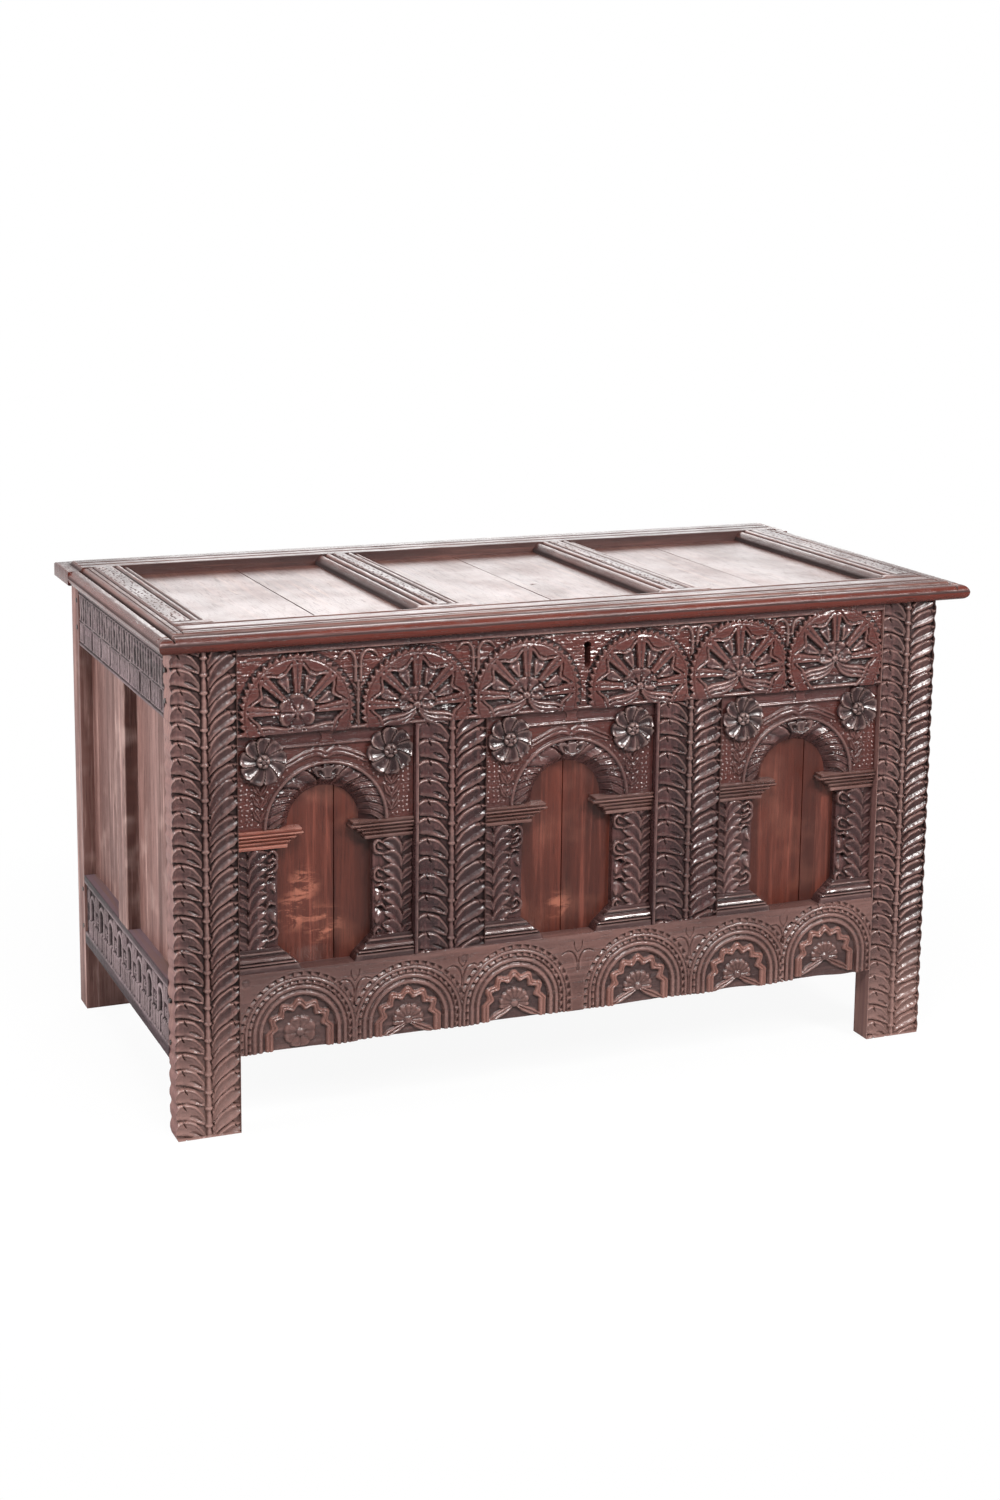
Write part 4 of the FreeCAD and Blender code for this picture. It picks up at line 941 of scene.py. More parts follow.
CARVED = OakFinish("carved_oak", "28181a", "4c302f", "684644", "8a6a63", stain="4f231d", gloss=0.17,
                   dull=0.36, coat=0.4)
# The stile paints light: a lighter colour on its side for the glare there, and a lighter foot for light
# bounced from the floor.
STILE = OakFinish("stile_oak", "2a1b1c", "523735", "704e4a", "95736b", stain="5a2c25", gloss=0.24,
                  dull=0.44, coat=0.2, side="836058", floor_bounce_light=0.5)
LOWER = OakFinish("lower_rail_oak", "382625", "5e4440", "775853", "947068", stain="83594f", gloss=0.26,
                  dull=0.46, coat=0.25, soil_and_shade_share=0.5)
ARCADE = OakFinish("arcade_oak", "28181a", "4e3433", "6b4a48", "7a5c56", stain="522822", gloss=0.18,
                   dull=0.38)
POLISHED = OakFinish("polished_oak", "2a1b1b", "483130", "644845", "8c726c", stain="523431", gloss=0.14,
                     dull=0.28, coat=0.8, bump=0.3)
FLOWER = OakFinish("flower_oak", "291a1b", "4b3535", "674d4c", "8c736d", stain="523431", gloss=0.19,
                   dull=0.34, coat=0.4, bump=0.4)
MOULDED = OakFinish("moulded_oak", "5a2f27", "94594c", "b97d6d", "d8b0a1", stain="a76354", patches=0.4)
DULLED = OakFinish("dark_moulded_oak", "33201e", "5f423c", "836059", "a88a83", stain="6e4740", patches=0.3)
PANEL = OakFinish("red_brown_panel_oak", "3a1a14", "5c2b20", "773e31", "9a5c47", gloss=0.3, dull=0.46,
                  patches=0.15, coat=0.15, bump=0.4,
                  scuffs=((-0.427, -0.3225, 0.306, 0.04), (-0.474, -0.3225, 0.332, 0.04),
                          (-0.459, -0.3225, 0.374, 0.034), (-0.035, -0.3225, 0.292, 0.03)))
# End wood: its pale pinkish tones are partly the wood's own and partly a painted sheen for the glancing
# reflection on the ends, with the specular level lowered to match.
END = OakFinish("end_oak", "563630", "8e6b64", "b08e86", "c6aaa2", stain="50302a", gloss=0.5, dull=0.64,
                coat=0.05, patches=0.35, figure=1.25, specular=0.3)
# The end rails' near-black stain is a painted shade, laid in the recesses by the ground mask; their lighter
# side colour is painted light on the ledges.
END_RAIL = OakFinish("end_rail_oak", "1e1516", "3f2f33", "68545a", "a89596", stain="120a0b", gloss=0.5,
                     dull=0.66, coat=0.0, soot=0.2, specular=0.25, side="6e534b")
PLAIN = OakFinish("plain_oak", "3a241e", "543a31", "6a4a3f", "7c5a4b", gloss=0.55, dull=0.75, coat=0.0)
LID_FRAME = OakFinish("lid_frame_oak", "301917", "4c2d28", "664038", "7c5045", stain="56241c", gloss=0.32,
                      dull=0.46, coat=0.12, soot=0.5, shine=0.14, specular=0.4)
LID_PANEL = OakFinish("lid_panel_oak", "4e2f29", "67423a", "7c5849", "906b5b", gloss=0.36, dull=0.48,
                      coat=0.2, bump=0.4)
PEG = OakFinish("oak_pegs", "1c100c", "2c1a14", "3a231a", "4a2e22", gloss=0.5, dull=0.6)
IRON = IronFinish()


def dress(piece: bpy.types.Object, body: str, material: bpy.types.Material,
          nodes: Iterable[str] = ()) -> bpy.types.Object:
    """Finishes a new piece and ties it to the chest.

    Args:
        piece: The new object.
        body: The CAD body that it rides on.
        material: Its finish.
        nodes: The CAD nodes that it stands for.

    Returns:
        The piece.
    """
    piece.data.materials.clear()
    piece.data.materials.append(material)
    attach(piece, body)
    if nodes:
        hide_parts(*nodes)
    LOG.info("%s: %d faces on %s", piece.name, len(piece.data.polygons), body)
    return piece


def fit(board: Board, finish: OakFinish, grain: Grain, node: str, body: str = "carcass") -> None:
    """Builds a board and dresses it in the place of a CAD node."""
    dress(board.build(), body, finish.material(grain), [node])


# ---- carved parts


@dataclass
class LeafBand:
    """A stem between two columns of leaves, up the face of a stile or muntin."""

    stem: float
    west: float
    east: float
    foot: float
    head: float
    seed: int
    rise: float = 30.0
    pitch: float = LEAF_PITCH
    ground: float = -7.0
    stem_half: float = 4.6
    spare: float = 30.0
    wander: float = 1.3
    sizes: Point = (0.95, 1.07)

    def _rows(self, rng: Dice, first: float) -> list[Point]:
        """Places up the band, each a little off its even row and with its own size.

        Args:
            rng: The source of the unevenness.
            first: The lowest row.

        Returns:
            The height and the size of each leaf or ring.
        """
        count = int((self.head + self.spare - first) / self.pitch) + 1
        return [(first + n * self.pitch + rng.uniform(-self.wander, self.wander), rng.uniform(*self.sizes))
                for n in range(count)]

    def _left(self, relief: Relief, level: float, size: float, rng: Dice) -> None:
        """One mussel-shaped leaf whose tip lies at the west edge and whose point reaches the stem.

        Args:
            relief: The face.
            level: The height of the leaf.
            size: Its size, 1 being the usual one.
            rng: The source of its unevenness.
        """
        near = self.stem - self.stem_half + 0.5
        span = near - self.west
        tilt = rng.uniform(0.85, 1.2)
        half = 0.463 * self.pitch * size
        spots = [(self.west - 1.0, level + 1.0 * tilt), (self.west + 0.22 * span, level + 4.0 * tilt),
                 (self.west + 0.5 * span, level + 0.5), (self.west + 0.78 * span, level - 9.0 * tilt),
                 (near, level - 19.0 * tilt)]
        relief.lift(Stroke(spots, (half * 0.66, half, half * 0.98, half * 0.6, 1.0)), -0.2, self.ground,
                    mussel_section)
        tick = placed(self.west + rng.uniform(0.2, 0.32) * span, level + half, 1, (0, 4), (2.5, -2.5),
                      (5.5, -7))
        relief.gouge(Stroke(tick, (1.0, 1.8, 0.6)), 4.0, vee_section)
        glint = [(self.west + 0.5 * span, level - 4.0), (self.west + 0.66 * span, level - 8.0),
                 (self.west + 0.84 * span, level - 13.0)]
        relief.gouge(Stroke(glint, (1.6, 3.6, 1.2)), 2.6)

    def _right(self, relief: Relief, level: float, size: float, rng: Dice) -> None:
        """One scooped leaf that leaves the stem steeply and arcs over to the east edge.

        Args:
            relief: The face.
            level: The height of the leaf.
            size: Its size, 1 being the usual one.
            rng: The source of its unevenness.
        """
        near = self.stem + self.stem_half - 0.5
        span = self.east - near
        climb = span * math.tan(math.radians(self.rise + rng.uniform(-4, 4)))
        half = 0.493 * self.pitch * size * math.cos(math.radians(self.rise * 0.8))
        foot = level - climb * 0.5
        spots = [(near, foot - 4), (near + 0.16 * span, foot + 0.32 * climb),
                 (near + 0.42 * span, foot + 0.62 * climb), (near + 0.74 * span, foot + 0.86 * climb),
                 (self.east + 1, foot + climb)]
        relief.lift(Stroke(spots, (1.2, half * 0.62, half * 0.98, half * 0.98, half * 0.5)), -0.2,
                    self.ground, scoop_section)
        curl = self.east - rng.uniform(0.1, 0.2) * span
        cut = placed(curl, foot + 0.9 * climb + half, 1, (-7, 2), (-1, -2.5), (2, -8))
        relief.gouge(Stroke(cut, (1.0, 2.0, 0.7)), 4.0, vee_section)

    def carve(self, relief: Relief) -> None:
        """Sinks the band into a face and carves it.

        Args:
            relief: The face.
        """
        rng = np.random.default_rng(self.seed)
        relief.sink(self.west, self.east, self.foot, self.head, self.ground, 0.3)
        start = self.foot - self.pitch + 12
        for level, size in self._rows(rng, start):
            self._left(relief, level, size, rng)
        for level, size in self._rows(rng, start + 6):
            self._right(relief, level, size, rng)
        half = np.full(relief.up.size, self.stem_half)
        for ring, _ in self._rows(rng, start + 4):
            half += 2.0 * bump(relief.up, ring, 3.0)
            half -= 0.9 * bump(relief.up, ring - 6, 5)
        side = (relief.u - self.stem) / half[:, None]
        inside = (np.abs(side) < 1) & (relief.v >= self.foot) & (relief.v <= self.head)
        trunk = self.ground + (0.2 - self.ground) * round_section(side, side) * (half[:, None] / 6.1) ** 0.6
        relief.paint(WHOLE, inside, np.minimum(trunk, -0.2))
        moat = (np.abs(side) >= 1) & (np.abs(side) < 1.3) & inside.any(1)[:, None]
        relief.h = np.where(moat, np.minimum(relief.h, self.ground + 0.8), relief.h)


@dataclass(frozen=True)
class Post:
    """What shows of one stile or muntin of the front, and how its leaves stand."""

    node: str
    low: float
    high: float
    stem: float
    margins: Point
    seed: int
    rise: float
    pitch: float = LEAF_PITCH


@dataclass
class FrontPosts:
    """The two corner stiles and the two muntins of the front, each with its band of leaves."""

    stiles: tuple[Post, ...] = (Post("front_stile_left", 0, 750, -618.5, (0.0, 1.0), 11, 42),
                                Post("front_stile_right", 0, 750, 579.0, (1.5, 0.0), 12, 25))
    muntins: tuple[Post, ...] = (Post("front_muntin_left", 250, 617, -227.0, (6.0, 1.0), 13, 34, 30.6),
                                 Post("front_muntin_right", 250, 617, 182.0, (6.0, 1.0), 14, 28, 28.0))
    face: float = 350.5
    pitch: float = 1.2
    foot: float = 2.0
    frayed: float = 7.0

    def _carve(self, post: Post, finish: OakFinish) -> None:
        """Carves and fits one post.

        Args:
            post: The post.
            finish: Its finish.
        """
        corner, far = node_box(post.node)
        relief = Relief.over(corner[0], far[0], post.low, post.high, self.pitch)
        foot = post.low + self.foot
        west, east = corner[0] + post.margins[0], far[0] - post.margins[1]
        LeafBand(post.stem, west, east, foot, post.high, post.seed, post.rise, post.pitch).carve(relief)
        rng = np.random.default_rng(post.seed + 50)
        relief.age(rng, 0.26)
        if post in self.stiles:
            way, edge = (1, corner[0]) if post is self.stiles[0] else (-1, far[0])
            tips = (relief.up - foot + 4) / post.pitch * math.pi
            bite = 2.2 * np.cos(tips) ** 4 + 0.5 * uneven((relief.up.size, 1), (4, 1), rng)[:, 0] + 0.5
            near = 1 - step(np.abs(relief.u - edge), 0, self.frayed)
            relief.u = relief.u + way * near * np.maximum(bite, 0)[:, None]
        board = Board(f"carved_{post.node}", relief, Facing.FRONT, self.face, far[1] - corner[1])
        fit(board, finish, Grain.UPRIGHT, post.node)

    def build(self) -> None:
        """Builds, finishes and places all four."""
        for posts, finish in ((self.stiles, STILE), (self.muntins, CARVED)):
            for post in posts:
                self._carve(post, finish)


@dataclass
class TopRail:
    """The top rail of the front: six fans, the twin bars between them and the keyhole."""

    node: str = "front_top_rail"
    hubs: tuple[Point, ...] = (
        (-475.7, 648.7), (-285.1, 645.0), (-104.1, 645.7), (90.1, 645.9), (266.0, 653.0), (442.2, 664.1))
    bars: tuple[float, ...] = (-380.0, -190.0, 185.0, 357.0)
    spokes: tuple[float, ...] = (175.0, 135.0, 90.0, 45.0, 5.0)
    key_x: float = -1.5
    low: float = 617.0
    high: float = 750.0
    border: float = 740.0
    ground: float = -6.5
    pitch: float = 1.25

    def _rim(self, relief: Relief, x: float, z: float, turn: float) -> None:
        """The notched rope round a fan, the flat ring and the swagged band inside it.

        Args:
            relief: The rail's face.
            x, z: The fan's centre.
            turn: Where the first notch stands, as a share of a notch.
        """
        window, r, a = relief.polar(x, z, 96)
        count = round(2 * math.pi * 87.5 / 11)
        phase = (a / 360 * count + (r - 85) * 0.035 + turn) % 1
        tooth = np.abs(phase - 0.5) * 2
        reach = 91.5 - 6.5 * tooth
        plate = -0.5 - 1.4 * bump(r, 82.5, 1.5) - 1.2 * step(r, reach - 2.5, reach)
        relief.paint(window, (r < reach) & (r > 60), plate, 0.8)
        relief.paint(window, (r >= reach) & (r < 93.5) & (relief.v[window] < 738), self.ground)
        gap = np.min([np.abs((a - s + 180) % 360 - 180) for s in self.spokes], axis=0)
        inner = 71 - 12.0 * step(gap, 4, 20)
        roll = np.sqrt(bump(r, inner + 2.6, 2.8))
        relief.paint(window, (np.abs(r - inner - 2.6) < 2.8), -3.2 + 3.1 * roll, 0.5)
        relief.h[window] -= 2.6 * bump(r, inner + 6.6, 1.5)
        relief.paint(window, (r <= inner) & (r > 26), self.ground)

    def _spokes(self, relief: Relief, x: float, z: float) -> None:
        """The double-ribbed spokes and the small triangles sunk between them.

        Args:
            relief: The rail's face.
            x, z: The fan's centre.
        """
        def ray(degrees: float, inner: float, outer: float, widths: Point,
                beside: Point = (0, 0)) -> Stroke:
            """A line outwards from the hub.

            Args:
                degrees: Its angle.
                inner: How far from the hub it starts.
                outer: How far from the hub it ends.
                widths: Its half-widths at both.
                beside: How far to its left it lies at both.

            Returns:
                The line.
            """
            along = np.array((math.cos(math.radians(degrees)), math.sin(math.radians(degrees))))
            left = np.array((-along[1], along[0]))
            ends = [(x, z) + along * reach + left * off for reach, off in zip((inner, outer), beside)]
            return Stroke(ends, widths)

        for degrees in self.spokes:
            for way in WAYS:
                rib = ray(degrees, 30, 76, (2.4, 4.6), (2.4 * way, 4.6 * way))
                relief.lift(rib, -0.2, self.ground + 2, flat_section, 0.8)
            relief.lift(ray(degrees, 32, 70, (1.0, 1.9)), -1.0, self.ground + 2)
        for degrees in (22, 67, 113, 158):
            relief.lift(ray(degrees, 34, 54, (2.0, 9.5)), -1.2, self.ground, cupped_section)

    def _hub(self, relief: Relief, x: float, z: float, flower: bool) -> None:
        """The dished shell, the lobes beside it, the knob and the strands that flow down from it.

        Args:
            relief: The rail's face.
            x, z: The fan's centre.
            flower: Whether the shell is a whole flower.
        """
        window, r, a = relief.polar(x, z, 31)
        ripple = np.sin(math.pi * ((a / 360 * (6 if flower else 9)) % 1))
        if flower:
            rim = 23 + 7 * np.sqrt(ripple)
            dish = -0.3 - 5.2 * (1 - ripple**0.6) - 2.6 * bump(r, 17, 8) * ripple
            shell = r < rim
        else:
            rim = np.full(r.shape, 30.0)
            dish = -0.2 - 3.6 * np.clip(1 - r / 30, 0, 1) ** 0.7 - 4.6 * (1 - ripple)
            dish = dish - 1.8 * bump(r, 20, 7) * ripple
            shell = (r < 30) & ((a > -8) | (a < -172))
        relief.paint(window, shell, dish - 1.5 * step(r, rim - 3, rim), 0.2)
        for way in WAYS:
            for k in range(2 if flower else 3):
                if flower:
                    strand = placed(x, z, way, (6, 2 * k - 24), (24, -24 - 3 * k), (50, -20 - 6 * k),
                                    (80, -24 - 6 * k))
                    line, top = Stroke(strand, (1.5, 3.2, 3.2, 1.5)), -0.4
                else:
                    strand = placed(x, z, way, (3, -4 - 3 * k), (14, -11 - 5.6 * k), (30, -15 - 7 * k),
                                    (48, -17 - 7 * k), (68, -25 - 8.4 * k))
                    line, top = Stroke(strand, (1.5, 3.0, 3.8, 3.6, 1.6)), -0.3
                relief.lift(line, top, self.ground + 1, round_section, 0.3)
            if not flower:
                lobe = placed(x, z, way, (10, -2), (18, -1), (29, 1))
                relief.lift(Stroke(lobe, (4, 8.0, 3.5)), 0.0, -4.5)
                relief.gouge(Stroke(placed(x, z, way, (14, 3), (25, 2)), (3.6, 5.4)), 4.4)
                relief.lift(Stroke(placed(x, z, way, (17, -1), (18, -1.2)), (2.2, 2.2)), -0.4, -4)
        relief.lift(knob(x, z, 6.0, 0.5), 0.0, -4)
        for turn in (0.7, 2.3):
            tip = (4.5 * math.cos(turn), 4.5 * math.sin(turn))
            cross = [(x - tip[0], z - tip[1]), (x + tip[0], z + tip[1])]
            relief.gouge(Stroke(cross, (0.8, 0.8)), 1.4, vee_section)

    def _between(self, relief: Relief, x: float) -> None:
        """The twin bars with curled tops and the small leaves that climb below them.

        Args:
            relief: The rail's face.
            x: Their middle.
        """
        for way in WAYS:
            crook = placed(x, 0, way, (4.2, 690), (4.2, 716), (6.5, 729), (14, 736.5), (24, 735), (31, 727))
            relief.lift(Stroke(crook, (2.8, 2.8, 2.8, 3.0, 3.0, 1.4)), -0.3, self.ground)
            for level in (684, 667, 650, 633):
                leaf = placed(x, level, way, (1.5, -11), (8, -2), (17, 4))
                relief.lift(Stroke(leaf, (1.5, 5.5, 2.0)), -0.8, self.ground, feather_section, 0.25)
        relief.lift(Stroke([(x - 7, 712), (x + 7, 712)], (1.8, 1.8)), -0.3, self.ground)
        relief.lift(Stroke([(x, 617), (x, 690)], (2.0, 2.4)), -0.4, self.ground)

    def build(self) -> None:
        """Builds the rail between the two stiles."""
        rng = np.random.default_rng(31)
        west = node_box("front_stile_left")[1][0]
        east = node_box("front_stile_right")[0][0]
        relief = Relief.over(west, east, self.low, self.high, self.pitch)
        relief.sink(west - 1, east + 1, self.low - 1, self.border, self.ground + 1.5, 0.95)
        for x in self.bars:
            self._between(relief, x)
        for number, (x, z) in enumerate(self.hubs):
            self._rim(relief, x, z, rng.uniform(0, 1))
            self._spokes(relief, x, z)
            self._hub(relief, x, z, number == 0)
        bead = Stroke([(west, self.low + 2.5), (east, self.low + 2.5)], (3.4, 3.4), 60)
        relief.lift(bead, -0.8, self.ground, round_section, 0.2)
        scratch = uneven(relief.h.shape, (1.4, 10.0), rng) + 0.5 * uneven(relief.h.shape, (1.2, 4.0), rng)
        relief.h += 1.1 * scratch * np.maximum(step(-relief.h, 2.5, 5), 0.35 * relief.ground)
        relief.h -= 1.0 * (relief.v >= self.border)
        relief.age(rng, 0.2)
        u, v = relief.u - self.key_x, relief.v
        eye = np.hypot(u, v - 717) - 6.6
        slot = np.hypot(u, np.maximum(np.abs(v - 703.5) - 15.5, 0)) - 5.0
        relief.trim(np.minimum(eye, slot))
        board = Board.front(f"carved_{self.node}", relief, self.node)
        fit(board, CARVED, Grain.ACROSS, self.node)


@dataclass
class BottomRail:
    """The bottom rail of the front: six arched compartments with a wave and a half flower in each."""

    node: str = "front_bottom_rail"
    hubs: tuple[Point, ...] = (
        (-474.2, 147.9), (-297.8, 143.8), (-119.0, 148.2), (97.6, 148.7), (278.7, 146.0), (443.5, 156.4))
    plugs: tuple[Point, ...] = ((-206.0, 233.0), (540.0, 232.0), (-560.0, 236.0))
    low: float = 120.0
    high: float = 250.0
    notch: float = 12.5
    field: float = -5.6
    pitch: float = 1.25

    def _arch(self, relief: Relief, x: float, z: float, reach: Point, first: bool,
              rng: Dice) -> None:
        """One compartment.

        Args:
            relief: The rail's face.
            x, z: Its centre.
            reach: Its limits across.
            first: Whether it has a whole flower.
            rng: The source of its unevenness.
        """
        window = relief.window(reach[0], reach[1], 100, 260)
        du, dv = relief.u[window] - x, relief.v[window] - z
        r = np.hypot(du, np.maximum(dv, 0))
        a = np.where(dv > 0, np.arctan2(np.maximum(dv, 0), du), np.where(du > 0, 0, math.pi))
        run = np.where(dv > 0, a * 84, np.where(du > 0, dv, math.pi * 84 - dv)) + rng.uniform(0, 9)
        height = relief.h[window].copy()
        outer, inner = (1 - (run / self.notch + late) % 1 for late in (0, 0.5))
        height -= 3.6 * band(r, 90, 97.5, 2.0) * np.clip(outer * 1.8 - (97.5 - r) / 9, 0, 1) * (r > 89.5)
        height -= 3.4 * band(r, 77.5, 84.5, 2.0) * np.clip(1.7 * inner - (84.5 - r) / 9, 0, 1)
        for centre, half, depth in ((89.3, 1.4, 1.5), (76.8, 1.7, 3.4), (67.6, 2.2, 3.4), (58.2, 2.0, 4.0)):
            height -= depth * bump(r, centre, half)
        for centre, half in ((72.4, 3.6), (62.8, 3.8), (85.6, 3.4)):
            height = np.where(np.abs(r - centre) < half, height - 1.6 * ((r - centre) / half) ** 2, height)
        inside = r < 57.5
        height = np.where(inside, self.field, height)
        red = np.where(inside, 0.0, 0.25)
        wave = 45.0 + 3.8 * np.sin(a * 12.0 + 1.2)
        side = (r - wave) / 6.6
        snake = inside & (np.abs(side) < 1) & (dv > -30)
        coil = self.field + 5.2 * (1 - np.abs(side) ** 4) - 2.2 * bump(side, 0.1, 0.3)
        height, red = np.where(snake, coil, height), np.where(snake, 1.0, red)
        far = np.hypot(du, dv)
        petals = (np.degrees(np.arctan2(dv, du)) / 360 * (8 if first else 14)) % 1
        dished = -1.2 - 2.2 * np.clip(1 - far / 26, 0, 1) - 1.7 * (1 - np.sin(math.pi * petals) ** 0.6)
        edge = 26 * (0.9 + 0.1 * np.sin(math.pi * petals) ** 0.5)
        flower = (far < edge) & (first | (dv > -6))
        height = np.where(flower, dished - 2.5 * step(far, edge - 3, edge), height)
        red = np.where(flower, 0.25, red)
        relief.h[window], relief.ground[window] = height, red
        for way in () if first else WAYS:
            leaf = placed(x, z, way, (2, -3), (16, -11), (32, -19), (46, -27))
            relief.lift(Stroke(leaf, (2.0, 5.5, 6.0, 2.0)), -0.6, -5.0, feather_section, 0.5)
        relief.lift(knob(x, z, 6.4), 0.0, -3.5)

    def _sprig(self, relief: Relief, x: float) -> None:
        """The cut sprig between two arches.

        Args:
            relief: The rail's face.
            x: Its middle.
        """
        for way in WAYS:
            curve = placed(x, 0, way, (1.4, 189), (1.8, 206), (8, 219), (18, 223), (28, 219))
            relief.gouge(Stroke(curve, (1.2, 1.6, 1.9, 1.8, 0.8)), 3.0, vee_section)
            shoot = placed(x, 0, way, (0, 219), (6, 228), (7, 238))
            relief.gouge(Stroke(shoot, (1.0, 1.3, 0.8)), 2.2, vee_section)

    def build(self) -> None:
        """Builds the rail between the two stiles."""
        rng = np.random.default_rng(41)
        west = node_box("front_stile_left")[1][0]
        east = node_box("front_stile_right")[0][0]
        relief = Relief.over(west, east, self.low, self.high, self.pitch)
        middles = [(a[0] + b[0]) / 2 for a, b in zip(self.hubs, self.hubs[1:])]
        limits = [west - 1, *middles, east + 1]
        for number, (x, z) in enumerate(self.hubs):
            self._arch(relief, x, z, (limits[number], limits[number + 1]), number == 0, rng)
        for x in middles:
            self._sprig(relief, x)
        for x, z in self.plugs:
            relief.gouge(knob(x, z, 7.5, 0.3), 1.6)
            relief.lift(knob(x, z, 5.6, 0.3), -0.2, -1.6)
        relief.age(rng, 0.26)
        sag = uneven((1, relief.across.size), (1, 42), rng)[0]
        relief.v = relief.v + (2.0 + 1.6 * sag)[None, :] * (1 - step(relief.v, self.low, self.low + 8))
        board = Board.front(f"carved_{self.node}", relief, self.node)
        fit(board, LOWER, Grain.ACROSS, self.node)


@dataclass(frozen=True)
class Moulding:
    """A section run across a bay: its corners' heights, their reach past the pilaster and their depths."""

    title: str
    levels: tuple[float, ...]
    reaches: tuple[float, ...]
    depths: tuple[float, ...]
    red: float


IMPOST = Moulding(
    title="impost",
    levels=(440, 444.6, 445.4, 446.4, 451, 451.8, 452.8, 457.2, 458, 459, 463.4, 464.2, 465.2, 470),
    reaches=(15, 15, 15, 19, 19, 19, 28, 28, 28, 39, 39, 38, 36, 36),
    depths=(-8.6, -7.4, -11, -10.4, -5.4, -9.4, -8.8, -3, -7, -6.4, -0.4, -4.6, -4.2, -0.2),
    red=0.5)
BASE = Moulding(
    title="base",
    levels=(250, 258, 259.2, 260.2, 261.2, 263, 264, 265.2, 267.5, 270, 272, 273.2, 275, 277.5, 279, 280.2,
            285),
    reaches=(34, 30, 29, 28, 27, 25, 24, 23, 20, 17, 15, 14, 12, 9, 8, 6, 0),
    depths=(-0.3, -0.6, -4.4, -4.6, -1.2, -1.6, -6.2, -3.4, -1.4, -2.6, -5.6, -8.4, -8.0, -5.8, -5.6, -9.4,
            -10),
    red=0.1)


